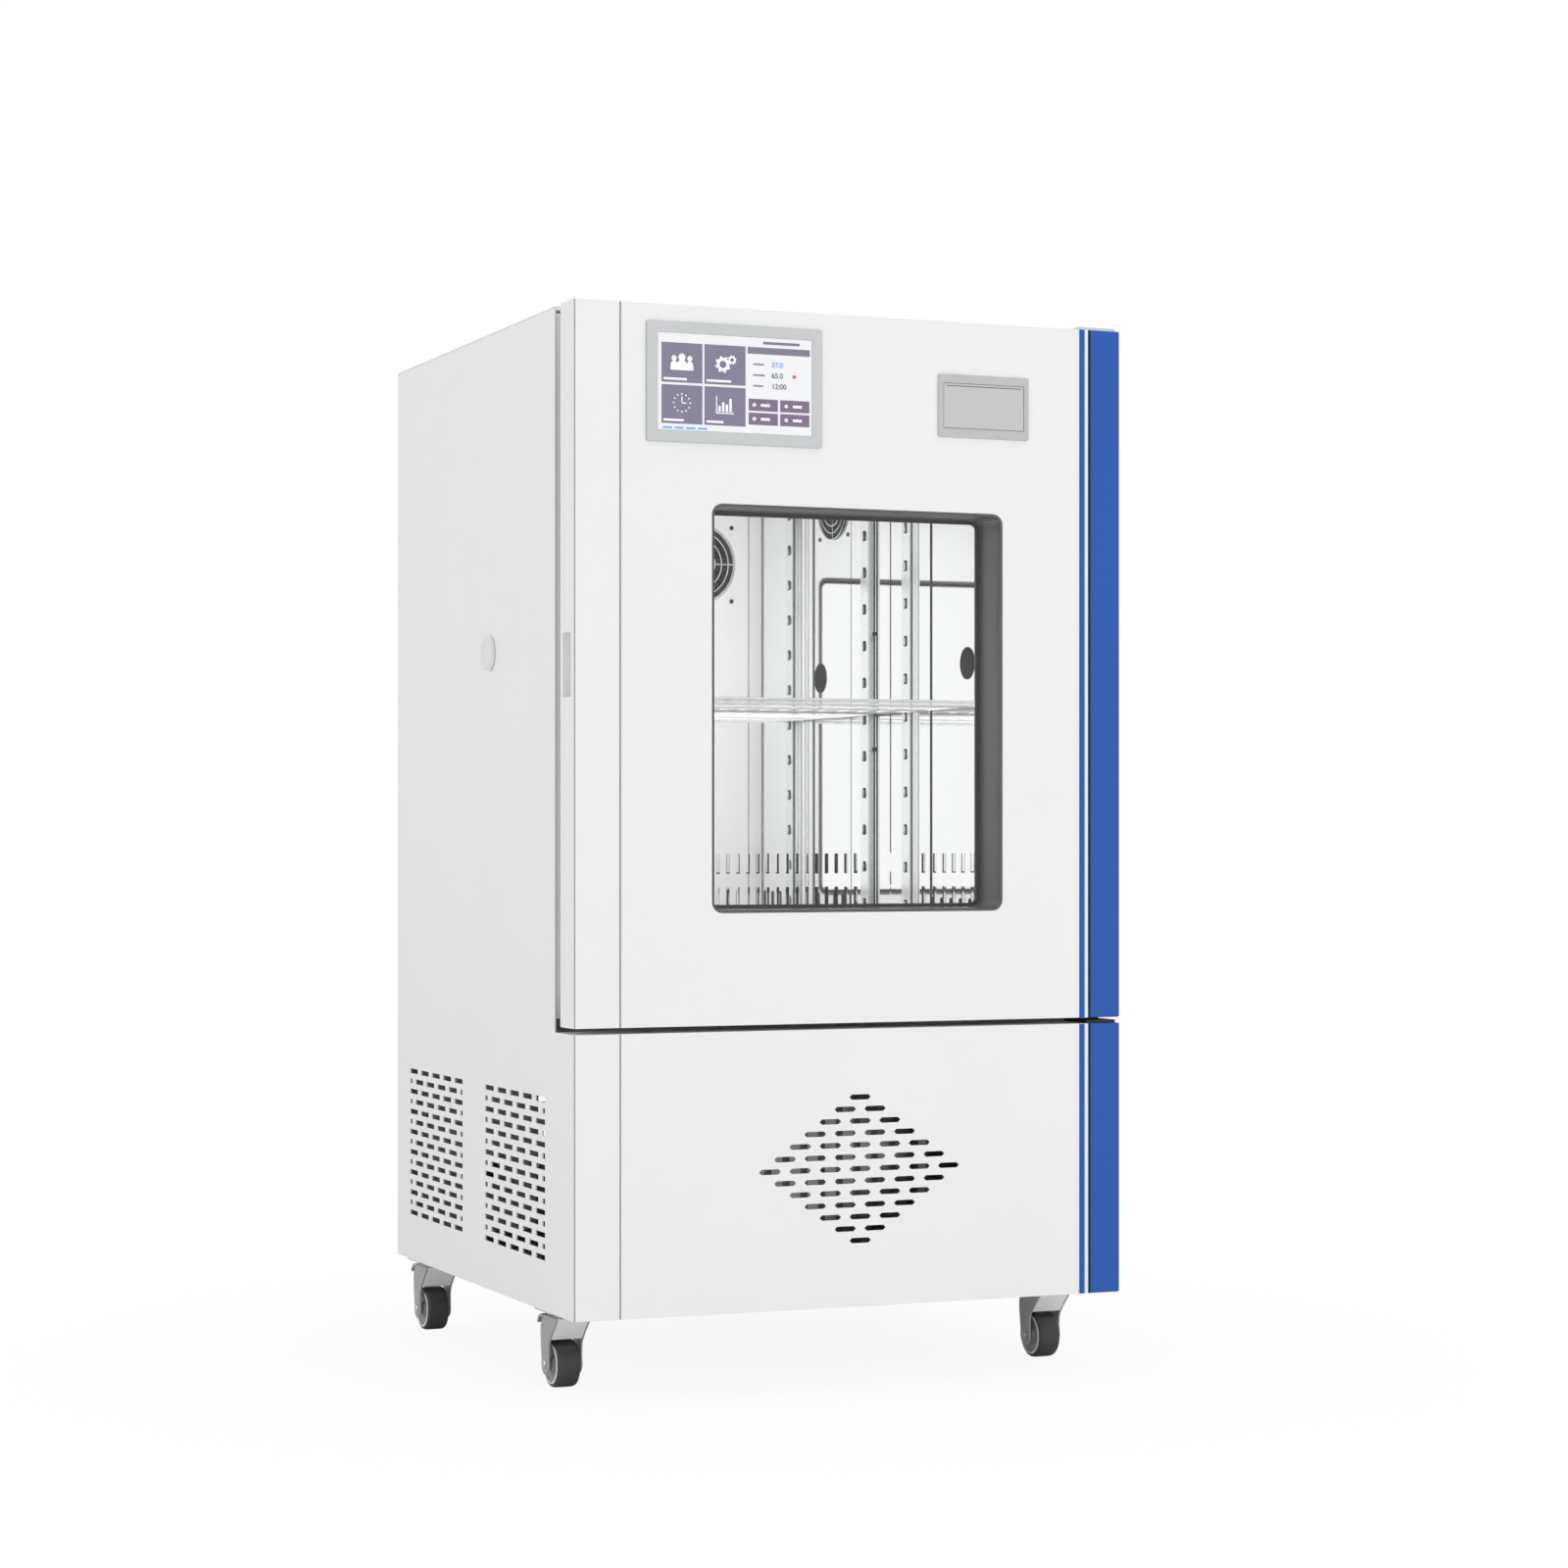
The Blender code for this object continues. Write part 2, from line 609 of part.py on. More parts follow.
def duct():
    """Back duct panel with its fan hole and slot rows, the fan behind it and the coil in the duct."""
    side = WALL + 0.001
    panel = body_box(
        "duct_panel", (side, DUCT_FRONT, CHAMBER_FLOOR + GAP),
        (WIDTH - side, DUCT_FRONT + LINER, CHAMBER_TOP - GAP), STAINLESS,
    )
    middle = at(FAN_FROM_LEFT, DUCT_FRONT, FAN_LEVEL)
    boolean(panel, rod("duct_fan_hole", middle, "Y", FAN_RADIUS, FAN_DEEP, None, WIDE_ROUND))
    spans = []
    for level in DUCT_SLOT_LEVELS:
        for k in range(DUCT_SLOTS):
            across = WIDTH / 2 + (k - (DUCT_SLOTS - 1) / 2) * DUCT_SLOT_PITCH
            spans.append((
                at(across - DUCT_SLOT_WIDE / 2, DUCT_FRONT - SHEET, level - DUCT_SLOT_TALL / 2),
                at(across + DUCT_SLOT_WIDE / 2, DUCT_FRONT + 2 * SHEET, level + DUCT_SLOT_TALL / 2),
            ))
    boolean(panel, boxes("duct_slots", spans))
    fan_guard(at(FAN_FROM_LEFT, DUCT_FRONT - GUARD_WIRE * 1.5, FAN_LEVEL))
    frame_front = DUCT_FRONT + LINER + GAP
    fan_frame(frame_front)
    rotor_middle = at(FAN_FROM_LEFT, frame_front + ROTOR_FROM_FRONT, FAN_LEVEL)
    rotor("fan_rotor", rotor_middle, FAN_RADIUS - FAN_TIP_CLEAR, FAN_HUB, ROTOR_DEEP, FAN_BLADES)
    coil_left = WALL + EVAPORATOR_FROM_WALL
    finned_block("evaporator", (
        at(coil_left, CHAMBER_BACK - EVAPORATOR_DEEP, EVAPORATOR_LOW),
        at(WIDTH - coil_left, CHAMBER_BACK - GAP, EVAPORATOR_HIGH),
    ))


def finned_block(name, span):
    """A coil block with vertical fins cut into its front."""
    low, high = span
    made = boxes(name, [span], ZINC)
    pitch = (high.x - low.x) / FINS
    cuts = []
    for k in range(FINS):
        left = low.x + (k + 0.3) * pitch
        cuts.append((
            (left, low.y - SHEET, low.z + FIN_END),
            (left + pitch * 0.4, low.y + (high.y - low.y) * 0.6, high.z - FIN_END),
        ))
    return boolean(made, boxes(name + "_fins", cuts))


def fan_guard(middle):
    """A wire guard: two rings on a cross of flat spokes."""
    wire = GUARD_WIRE
    made = None
    for radius in (FAN_RADIUS * 0.5, FAN_RADIUS):
        profile = [
            (radius - wire, -wire), (radius - wire, wire), (radius + wire, wire), (radius + wire, -wire),
        ]
        name = "fan_guard" if made is None else "guard_ring"
        ring = turned(name, profile, middle, "Y", ZINC)
        if made is None:
            made = ring
        else:
            boolean(made, ring, "UNION")
    reach = FAN_RADIUS + GUARD_OUT
    level = Vector((reach, wire * 0.9, wire * 1.5))
    upright = Vector((wire * 1.5, wire * 0.8, reach))
    cross = [(middle - level, middle + level), (middle - upright, middle + upright)]
    for span in cross:
        boolean(made, boxes("guard_spoke", [span]), "UNION")
    return made


def fan_frame(front):
    """A square fan frame with its motor on four arms at the back."""
    half = FAN_SIDE / 2
    across = FAN_FROM_LEFT
    made = boxes("fan_frame", [(
        at(across - half, front, FAN_LEVEL - half), at(across + half, front + FAN_DEEP, FAN_LEVEL + half),
    )], FAN_BLACK)
    middle = at(across, front + FAN_DEEP / 2, FAN_LEVEL)
    boolean(made, rod("fan_tunnel", middle, "Y", FAN_RADIUS, FAN_DEEP + SHEET, None, WIDE_ROUND))
    arm, reach = FAN_ARM, half - SHEET
    back = front + FAN_DEEP
    arms = [
        (at(across - reach, back - arm, FAN_LEVEL - arm), at(across + reach, back - GAP, FAN_LEVEL + arm)),
        (at(across - arm, back - arm, FAN_LEVEL - reach), at(across + arm, back - 2 * GAP, FAN_LEVEL + reach)),
    ]
    for span in arms:
        boolean(made, boxes("fan_arm", [span]), "UNION")
    motor_front = front + ROTOR_FROM_FRONT + ROTOR_DEEP / 2 + GAP
    motor_back = back - GAP
    motor_middle = at(across, (motor_front + motor_back) / 2, FAN_LEVEL)
    motor = rod("fan_motor", motor_middle, "Y", FAN_HUB * 0.95, motor_back - motor_front)
    boolean(made, motor, "UNION")
    return made


def rotor(name, middle, tip, hub, deep, blades):
    """A fan wheel: a hub with slanted blades."""
    made = rod(name, middle, "Y", hub, deep, FAN_BLACK)
    for k in range(blades):
        geometry = bmesh.new()
        add_boxes(geometry, [((hub * 0.8, -deep * 0.12, -tip * 0.17), (tip, deep * 0.12, tip * 0.17))])
        mesh = bpy.data.meshes.new(name + "_blade")
        slant = Matrix.Rotation(BLADE_SLANT, 4, "X")
        around = Matrix.Rotation(math.tau * k / blades, 4, "Y")
        place = Matrix.Translation(middle) @ around @ slant
        bmesh.ops.transform(geometry, matrix=place, verts=geometry.verts)
        geometry.to_mesh(mesh)
        geometry.free()
        boolean(made, add_object(name + "_blade", mesh, None), "UNION")
    return made


def shelf_rail(name, sign, behind):
    """A channel on the side wall, with a ladder of hook slots in its face."""
    wall_x = sign * (WIDTH / 2 - WALL)
    face_x = wall_x - sign * RAIL_DEEP
    low = CASTER_HEIGHT + CHAMBER_FLOOR + RAIL_END
    high = CASTER_HEIGHT + CHAMBER_TOP - RAIL_END
    y = FRONT_Y + behind
    half, inner_half = RAIL_WIDE / 2, RAIL_WIDE / 2 - RAIL_SHEET
    xs = sorted((wall_x - sign * GAP, face_x))
    outer = ((xs[0], y - half, low), (xs[1], y + half, high))
    inner_x = sorted((wall_x + sign * SHEET, face_x + sign * RAIL_SHEET))
    room = ((inner_x[0], y - inner_half, low - SHEET), (inner_x[1], y + inner_half, high + SHEET))
    made = hollow(name, outer, room, STAINLESS)
    spans = []
    slot_x = sorted((face_x - sign * SHEET, face_x + sign * RAIL_SHEET * 2))
    for k in range(RAIL_SLOTS):
        level = low + RAIL_END + k * RAIL_SLOT_PITCH
        spans.append((
            (slot_x[0], y - RAIL_SLOT_WIDE / 2, level),
            (slot_x[1], y + RAIL_SLOT_WIDE / 2, level + RAIL_SLOT_TALL),
        ))
    return boolean(made, boxes(name + "_slots", spans))


def wire_shelf():
    """A wire shelf: a round frame with bars from front to back, resting over the rails' fronts."""
    half = WIDTH / 2 - WALL - RAIL_DEEP - 0.0008
    back = DUCT_FRONT - 0.008
    middle_y = FRONT_Y + (SHELF_FRONT + back) / 2
    level = CASTER_HEIGHT + SHELF_LEVEL
    long = back - SHELF_FRONT
    made = boxes("wire_shelf", [
        ((-half, middle_y - long / 2, level - SHELF_WIRE), (half, middle_y + long / 2, level + SHELF_WIRE)),
    ], STAINLESS)
    room = boxes("shelf_room", [(
        (-half + 2 * SHELF_WIRE, middle_y - long / 2 + 2 * SHELF_WIRE, level - 0.02),
        (half - 2 * SHELF_WIRE, middle_y + long / 2 - 2 * SHELF_WIRE, level + 0.02),
    )])
    boolean(made, room)
    spans = []
    for k in range(SHELF_BARS):
        x = -half + 2 * half * (k + 1) / (SHELF_BARS + 1)
        spans.append((
            (x - SHELF_WIRE / 2, middle_y - long / 2 + SHELF_WIRE, level + SHELF_WIRE * 0.1),
            (x + SHELF_WIRE / 2, middle_y + long / 2 - SHELF_WIRE, level + SHELF_WIRE * 0.9),
        ))
    boolean(made, boxes("shelf_bars", spans), "UNION")
    return made


# Machine bay


def machine_bay():
    """Compressor, condenser with shroud and fan, humidifier tank, control box and power inlet."""
    floor = SHEET * 1.5 + GAP
    turned("compressor", COMPRESSOR_PROFILE, at(*COMPRESSOR_PLACE, floor), "Z", BLACK)
    condenser_and_fan(floor)
    body_box("humidifier_tank", (*TANK_LOW, floor), TANK_HIGH, PLUG_WHITE, 0.012)
    body_box("control_box", (*CONTROL_LOW, floor), CONTROL_HIGH, ZINC, 0.003, 1)
    inlet_back = DEPTH - SHEET - GAP
    body_box(
        "power_inlet", (INLET_LEFT, inlet_back - INLET_DEEP, INLET_LOW),
        (INLET_LEFT + INLET_WIDE, inlet_back, INLET_LOW + INLET_TALL), BLACK,
    )


def condenser_and_fan(floor):
    """The condenser coil with a shroud behind it, and the fan that turns in the shroud's round opening."""
    left, right = VENT_MIDDLE - CONDENSER_WIDE / 2, VENT_MIDDLE + CONDENSER_WIDE / 2
    coil_back = CONDENSER_FRONT + CONDENSER_DEEP
    shroud_front = coil_back - SHEET
    shroud_back = shroud_front + SHROUD_DEEP
    coil = (at(left, CONDENSER_FRONT, floor), at(right, coil_back, CONDENSER_TOP))
    condenser = finned_block("condenser", coil)
    shroud = boxes("shroud", [(at(left, shroud_front, floor), at(right, shroud_back, CONDENSER_TOP))])
    tunnel_middle = at(VENT_MIDDLE, (coil_back + shroud_back) / 2, VENT_LEVEL)
    tunnel_radius = BAY_FAN_RADIUS + BAY_FAN_CLEAR
    boolean(shroud, rod("shroud_tunnel", tunnel_middle, "Y", tunnel_radius, SHROUD_DEEP, None, WIDE_ROUND))
    boolean(condenser, shroud, "UNION")
    fan_middle = shroud_back - BAY_FAN_DEEP / 2 - SHEET
    shaft_back = fan_middle - BAY_FAN_DEEP / 2 - GAP
    shaft_middle = at(VENT_MIDDLE, (shroud_front + shaft_back) / 2, VENT_LEVEL)
    shaft = rod("condenser_shaft", shaft_middle, "Y", BAY_FAN_SHAFT, shaft_back - shroud_front)
    boolean(condenser, shaft, "UNION")
    fan_place = at(VENT_MIDDLE, fan_middle, VENT_LEVEL)
    rotor("condenser_fan", fan_place, BAY_FAN_RADIUS, BAY_FAN_HUB, BAY_FAN_DEEP, BAY_FAN_BLADES)


# Hinges


def hinge_axis(above):
    return at(WIDTH - HINGE_FROM_RIGHT, HINGE_FROM_FRONT, above)


def hinge_brackets():
    """A plate on the roof and one in the gap under the door, each with its pin."""
    left, right = WIDTH - HINGE_WIDE, WIDTH - HINGE_INSET
    roof = HEIGHT + GAP
    upper = body_box(
        "upper_hinge_bracket", (left, HINGE_FRONT, roof), (right, HINGE_BACK, roof + HINGE_PLATE), ZINC,
    )
    pin_low = HEIGHT - HINGE_REACH
    pin_high = roof + HINGE_PLATE / 2
    pin = rod("upper_pin", hinge_axis((pin_low + pin_high) / 2), "Z", HINGE_PIN, pin_high - pin_low)
    boolean(upper, pin, "UNION")
    plate = PANEL_TOP + GAP
    lower = body_box(
        "lower_hinge_bracket", (WIDTH - BLUE_WIDTH, HINGE_FRONT, plate),
        (right, DOOR_BACK - GAP, plate + HINGE_PLATE), BLACK,
    )
    pin_low = plate + HINGE_PLATE / 2
    pin_high = DOOR_BOTTOM + HINGE_REACH
    pin = rod("lower_pin", hinge_axis((pin_low + pin_high) / 2), "Z", HINGE_PIN, pin_high - pin_low)
    boolean(lower, pin, "UNION")


# Door


def door_shell():
    """A deep pan with the window through it, its finger recess and the seam of its left strip."""
    right = WIDTH - BLUE_WIDTH - GAP
    outer = (at(0.0, 0.0, DOOR_BOTTOM), at(right, DOOR_THICK, HEIGHT))
    room = (
        at(DOOR_SKIN, DOOR_SKIN, DOOR_BOTTOM + DOOR_SKIN),
        at(right - DOOR_SKIN, DOOR_THICK + SHEET, HEIGHT - DOOR_SKIN),
    )
    made = hollow("door_shell", outer, room, WHITE)
    boolean(made, window_cut("door_window", GAP, -SHEET, DOOR_THICK))
    cup = boxes("pull_cup", [(
        at(DOOR_SKIN / 2, PULL_FRONT - SHEET, PULL_LOW - SHEET),
        at(PULL_DEEP + SHEET, PULL_BACK + SHEET, PULL_HIGH + SHEET),
    )])
    boolean(made, cup, "UNION")
    hollow_span = (at(-SHEET, PULL_FRONT, PULL_LOW), at(PULL_DEEP, PULL_BACK, PULL_HIGH))
    boolean(made, boxes("pull_hollow", [hollow_span]))
    boolean(made, boxes("door_seam", [(
        at(SEAM_FROM_LEFT, -SHEET, DOOR_BOTTOM - SHEET),
        at(SEAM_FROM_LEFT + SEAM_WIDTH, SEAM_DEEP, HEIGHT + SHEET),
    )]))
    return made


def door_trim():
    """The blue corner profile that carries the hinge bores."""
    trim = box(
        "door_blue_trim", at(WIDTH - BLUE_WIDTH, BLUE_STEP / 2, DOOR_BOTTOM), at(WIDTH, DOOR_THICK, HEIGHT),
        BLUE, 0.0012, 1,
    )
    deep = HINGE_REACH + SHEET
    middles = {"bore_low": DOOR_BOTTOM + HINGE_REACH / 2, "bore_high": HEIGHT - HINGE_REACH / 2}
    for name, middle in middles.items():
        boolean(trim, rod(name, hinge_axis(middle), "Z", HINGE_PIN + RUN_CLEAR, deep + SHEET))
    return trim


def door_inside():
    """Liner with its raised field, the gasket round it, the window frame and both panes."""
    right_edge = WIDTH - BLUE_WIDTH - LINER_INSET
    back = DOOR_THICK + GAP
    liner = boxes("door_liner", [(
        at(LINER_INSET, back, DOOR_BOTTOM + LINER_INSET),
        at(right_edge, back + LINER_THICK, HEIGHT - LINER_INSET),
    )], WHITE)
    left, right = WALL + DYKE_CLEAR, WIDTH - WALL - DYKE_CLEAR
    low, high = CHAMBER_FLOOR + DYKE_CLEAR, CHAMBER_TOP - DYKE_CLEAR
    dyke = boxes("door_dyke", [(at(left, back + LINER_THICK / 2, low), at(right, back + DYKE_DEEP, high))])
    boolean(liner, dyke, "UNION")
    boolean(liner, window_cut("liner_window", GAP, DOOR_THICK - SHEET, back + DYKE_DEEP + SHEET))
    gasket_front = back + LINER_THICK + GAP
    outside = (
        at(GASKET_INSET, gasket_front, DOOR_BOTTOM + GASKET_INSET),
        at(right_edge, DOOR_BACK - GAP, HEIGHT - GASKET_INSET),
    )
    inset = GASKET_INSET + GASKET_WIDE
    inside = (
        at(inset, gasket_front - SHEET, DOOR_BOTTOM + inset),
        at(right_edge - GASKET_WIDE, DOOR_BACK + SHEET, HEIGHT - inset),
    )
    hollow("door_gasket", outside, inside, RUBBER)
    front, end = GAP, back + DYKE_DEEP
    frame = window_cut("window_frame", -GAP, front, end)
    frame.data.materials.append(DARK_FRAME)
    boolean(frame, window_cut("frame_clear", -FRAME_WALL, front - SHEET, end + SHEET))
    for name, place in (("outer_glass", GLASS_RECESS), ("inner_glass", end - GLASS - SHEET)):
        pane = window_cut(name, -FRAME_WALL - GAP, place, place + GLASS)
        pane.data.materials.append(CLEAR_GLASS)


def display_and_printer():
    """Both sit on the front of the door; the printer's cover tips forward on its lower edge."""
    right = BEZEL_LEFT + BEZEL_WIDE
    bezel = outline(
        "display_bezel", rounded_rectangle(BEZEL_LEFT, BEZEL_LOW, right, BEZEL_HIGH, BEZEL_CORNER, 3),
        BEZEL_PROUD - GAP, facing_front(-(BEZEL_PROUD + GAP) / 2), BEZEL_GREY,
    )
    middle, level = BEZEL_LEFT + BEZEL_WIDE / 2, (BEZEL_LOW + BEZEL_HIGH) / 2
    half_wide, half_high = SCREEN_WIDE / 2, SCREEN_HIGH / 2
    pocket = boxes("screen_pocket", [(
        at(middle - half_wide, -BEZEL_PROUD - SHEET, level - half_high),
        at(middle + half_wide, -BEZEL_PROUD * 0.35, level + half_high),
    )])
    boolean(bezel, pocket)
    box(
        "display_screen",
        at(middle - half_wide + GAP, -BEZEL_PROUD * 0.8, level - half_high + GAP),
        at(middle + half_wide - GAP, -BEZEL_PROUD * 0.35 - GAP, level + half_high - GAP), SCREEN,
    )
    proud = BEZEL_PROUD * 0.8
    surround = outline(
        "printer_bezel",
        rounded_rectangle(PRINTER_LEFT, PRINTER_LOW, PRINTER_LEFT + PRINTER_WIDE, PRINTER_HIGH, BEZEL_CORNER, 3),
        proud - GAP, facing_front(-(proud + GAP) / 2), PRINTER_GREY,
    )
    centre, high = PRINTER_LEFT + PRINTER_WIDE / 2, (PRINTER_LOW + PRINTER_HIGH) / 2
    boolean(surround, boxes("cover_pocket", [(
        at(centre - COVER_WIDE / 2, -proud - SHEET, high - COVER_HIGH / 2),
        at(centre + COVER_WIDE / 2, -proud * 0.3, high + COVER_HIGH / 2),
    )]))
    low, top = high - COVER_HIGH / 2 + COVER_CLEAR_LOW, high + COVER_HIGH / 2 - COVER_CLEAR
    box(
        "printer_cover", at(centre - COVER_WIDE / 2 + COVER_CLEAR, -proud * 0.85, low),
        at(centre + COVER_WIDE / 2 - COVER_CLEAR, -proud * 0.3 - GAP, top), PRINTER_GREY,
    )


# Casters


def caster(place, x, y):
    """Mounting plate, swivelling fork with its axle, hub, tyre and brake pedal."""
    top = CASTER_HEIGHT - GAP
    plate = box(
        "caster_plate_" + place, (x - PLATE_LONG / 2, y - PLATE_WIDE / 2, top - PLATE_THICK),
        (x + PLATE_LONG / 2, y + PLATE_WIDE / 2, top), ZINC,
    )
    head_low, head_high = FORK_TOP + GAP, top - PLATE_THICK / 2
    head_middle = (x, y, (head_low + head_high) / 2)
    head = rod("swivel_head", head_middle, "Z", SWIVEL_RADIUS, head_high - head_low)
    boolean(plate, head, "UNION")
    side = [(-0.022, FORK_TOP), (-0.020, 0.086), (-0.004, 0.062), (0.006, 0.040)]
    side += arc((WHEEL_OFFSET, WHEEL_RADIUS), 0.013, 160, 360, 5)
    side += [(0.036, 0.060), (0.037, 0.078), (0.030, 0.090), (0.020, FORK_TOP)]
    stand = Matrix.Translation((x, y, 0.0)) @ Matrix(((0, 0, 1, 0), (1, 0, 0, 0), (0, 1, 0, 0), (0, 0, 0, 1)))
    fork = outline("caster_fork_" + place, side, FORK_WIDE, stand, ZINC)
    clear = FORK_WIDE / 2 - FORK_WALL
    reach = 2 * WHEEL_RADIUS
    room = ((x - clear, y - reach, -SHEET), (x + clear, y + reach, FORK_TOP - FORK_CROWN))
    boolean(fork, boxes("fork_room", [room]))
    wheel = Vector((x, y + WHEEL_OFFSET, WHEEL_RADIUS))
    boolean(fork, rod("axle", wheel, "X", AXLE_RADIUS, FORK_WIDE + 2 * SHEET, None, 8), "UNION")
    pivot = Vector((x, y + PEDAL_PIVOT[0], PEDAL_PIVOT[1]))
    boolean(fork, rod("pedal_bore", pivot, "X", PEDAL_PIN + RUN_CLEAR, FORK_WIDE + SHEET, None, 10))
    half = TYRE_WIDE / 2
    bore = AXLE_RADIUS + RUN_CLEAR
    hub = [
        (bore, -half - 0.001), (bore, half + 0.001), (0.009, half + 0.001), (0.011, half - 0.003),
        (HUB_RADIUS - 0.004, half - 0.003), (HUB_RADIUS - 0.002, half - 0.0005), (HUB_RADIUS, half - 0.0005),
        (HUB_RADIUS, -half + 0.0005), (HUB_RADIUS - 0.002, -half + 0.0005), (HUB_RADIUS - 0.004, -half + 0.003),
        (0.011, -half + 0.003), (0.009, -half - 0.001),
    ]
    turned("caster_hub_" + place, hub, wheel, "X", HUB_GREY)
    inner = HUB_RADIUS + GAP
    tread = WHEEL_RADIUS
    shoulder = [(tread - 0.004, half), (tread - 0.0012, half - 0.003), (tread, half - 0.008)]
    tyre = [(inner, -half), (inner, half), *shoulder, *[(r, -along) for r, along in reversed(shoulder)]]
    turned("caster_tyre_" + place, tyre, wheel, "X", TYRE, TYRE_ROUND)
    lever = [
        (0.008, 0.0795), (0.020, 0.0795), (0.031, 0.0825), (0.050, 0.0825), (0.0545, 0.0765), (0.058, 0.0765),
        (0.058, 0.0835), (0.051, 0.0868), (0.030, 0.0868), (0.008, 0.0840),
    ]
    pedal = outline("brake_pedal_" + place, lever, PEDAL_WIDE, stand, ZINC)
    boolean(pedal, rod("pedal_pin", pivot, "X", PEDAL_PIN, FORK_WIDE - SHEET, None, 8), "UNION")


# Joints


def carry(made, holder):
    """Parents a piece and the cutters that shape it to a joint's empty, leaving them where they are."""
    made.parent = holder
    made.matrix_parent_inverse = holder.matrix_world.inverted()
    for step in made.modifiers:
        if step.type == "BOOLEAN":
            carry(step.object, holder)


def joint(name, place, pieces, parent=None):
    """An empty on the joint's axis, which carries the pieces that move about or along it."""
    holder = bpy.data.objects.new(name, None)
    PARTS.objects.link(holder)
    holder.empty_display_size = WHEEL_RADIUS
    holder.location = place
    bpy.context.view_layer.update()
    if parent is not None:
        holder.parent = parent
        holder.matrix_parent_inverse = parent.matrix_world.inverted()
        bpy.context.view_layer.update()
    for piece in pieces:
        carry(bpy.data.objects[piece], holder)
    return holder


def joints():
    """Door on its hinge, printer cover, port plugs, both fans, and each caster's swivel, wheel and pedal."""
    door = joint("door_hinge", hinge_axis(DOOR_BOTTOM), (
        "door_shell", "door_blue_trim", "door_liner", "door_gasket", "window_frame", "outer_glass", "inner_glass",
        "display_bezel", "display_screen", "printer_bezel",
    ))
    cover_edge = at(
        PRINTER_LEFT + PRINTER_WIDE / 2, -COVER_AXIS_PROUD,
        (PRINTER_LOW + PRINTER_HIGH - COVER_HIGH) / 2 + COVER_AXIS_UP,
    )
    joint("printer_cover_hinge", cover_edge, ("printer_cover",), door)
    joint("port_plug_left_pull", at(0.0, PORT_FROM_FRONT, PORT_LEVEL), ("port_plug_left",))
    joint("port_plug_right_pull", at(WIDTH, PORT_FROM_FRONT, PORT_LEVEL), ("port_plug_right",))
    joint("fan_spin", at(FAN_FROM_LEFT, DUCT_FRONT, FAN_LEVEL), ("fan_rotor",))
    joint("condenser_fan_spin", at(VENT_MIDDLE, CONDENSER_FRONT, VENT_LEVEL), ("condenser_fan",))
    for place, (x, y) in CASTER_PLACES.items():
        swivel = joint("caster_swivel_" + place, (x, y, FORK_TOP), ("caster_fork_" + place,))
        wheel_pieces = ("caster_hub_" + place, "caster_tyre_" + place)
        joint("caster_roll_" + place, (x, y + WHEEL_OFFSET, WHEEL_RADIUS), wheel_pieces, swivel)
        pivot = (x, y + PEDAL_PIVOT[0], PEDAL_PIVOT[1])
        joint("brake_pedal_tip_" + place, pivot, ("brake_pedal_" + place,), swivel)


cabinet_shell()
lower_front()
chamber()
duct()
for rail_side, rail_sign in (("left", -1), ("right", 1)):
    for rail_end, rail_behind in zip(("front", "rear"), RAIL_FROM_FRONTS):
        shelf_rail("shelf_rail_" + rail_end + "_" + rail_side, rail_sign, rail_behind)
wire_shelf()
machine_bay()
hinge_brackets()
door_shell()
door_trim()
door_inside()
display_and_printer()
for caster_place, (caster_x, caster_y) in CASTER_PLACES.items():
    caster(caster_place, caster_x, caster_y)
joints()
CUTTERS.hide_render = True
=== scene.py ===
"""Looks of the humidity incubator: finishes, display, casters, fans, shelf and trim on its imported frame."""

import math

import bmesh
import bpy
from mathutils import Matrix, Vector

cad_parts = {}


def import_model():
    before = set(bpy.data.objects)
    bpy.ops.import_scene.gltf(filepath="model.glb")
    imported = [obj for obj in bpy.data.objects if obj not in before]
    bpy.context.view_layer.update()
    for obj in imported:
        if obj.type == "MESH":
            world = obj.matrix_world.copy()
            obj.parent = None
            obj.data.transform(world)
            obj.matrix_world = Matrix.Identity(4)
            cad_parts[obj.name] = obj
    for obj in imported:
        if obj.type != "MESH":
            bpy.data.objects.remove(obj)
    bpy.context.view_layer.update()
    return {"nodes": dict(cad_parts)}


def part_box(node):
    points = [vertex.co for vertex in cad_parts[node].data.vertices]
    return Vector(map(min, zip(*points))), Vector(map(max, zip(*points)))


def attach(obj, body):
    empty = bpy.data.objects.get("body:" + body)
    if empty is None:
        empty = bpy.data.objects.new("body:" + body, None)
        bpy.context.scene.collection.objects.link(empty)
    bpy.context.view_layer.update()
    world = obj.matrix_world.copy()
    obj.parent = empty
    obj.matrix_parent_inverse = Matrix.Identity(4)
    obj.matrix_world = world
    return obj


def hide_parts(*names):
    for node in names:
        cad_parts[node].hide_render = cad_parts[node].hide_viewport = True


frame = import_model()
NODES = frame["nodes"]

# Faces that the added pieces sit on, read from the frame
DOOR_LOW, DOOR_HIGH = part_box("door_shell")
PANEL_LOW, PANEL_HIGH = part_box("lower_front_panel")
SCREEN_LOW, SCREEN_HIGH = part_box("display_screen")
COVER_LOW, COVER_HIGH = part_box("printer_cover")
SHELF_LOW, SHELF_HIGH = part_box("wire_shelf")
LINER_LOW, LINER_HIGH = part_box("inner_liner")
TRIM_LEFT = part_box("door_blue_trim")[0].x
DUCT_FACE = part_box("duct_panel")[0].y
LEFT = DOOR_LOW.x
FRONT = DOOR_LOW.y

CORNERS = ("front_left", "front_right", "rear_left", "rear_right")
SIDES = (("left", -1), ("right", 1))
PANES = ("outer_glass", "inner_glass")
SMALL = 0.0003  # a step that sets an added piece off the face that it sits on
HAIR = 0.0002

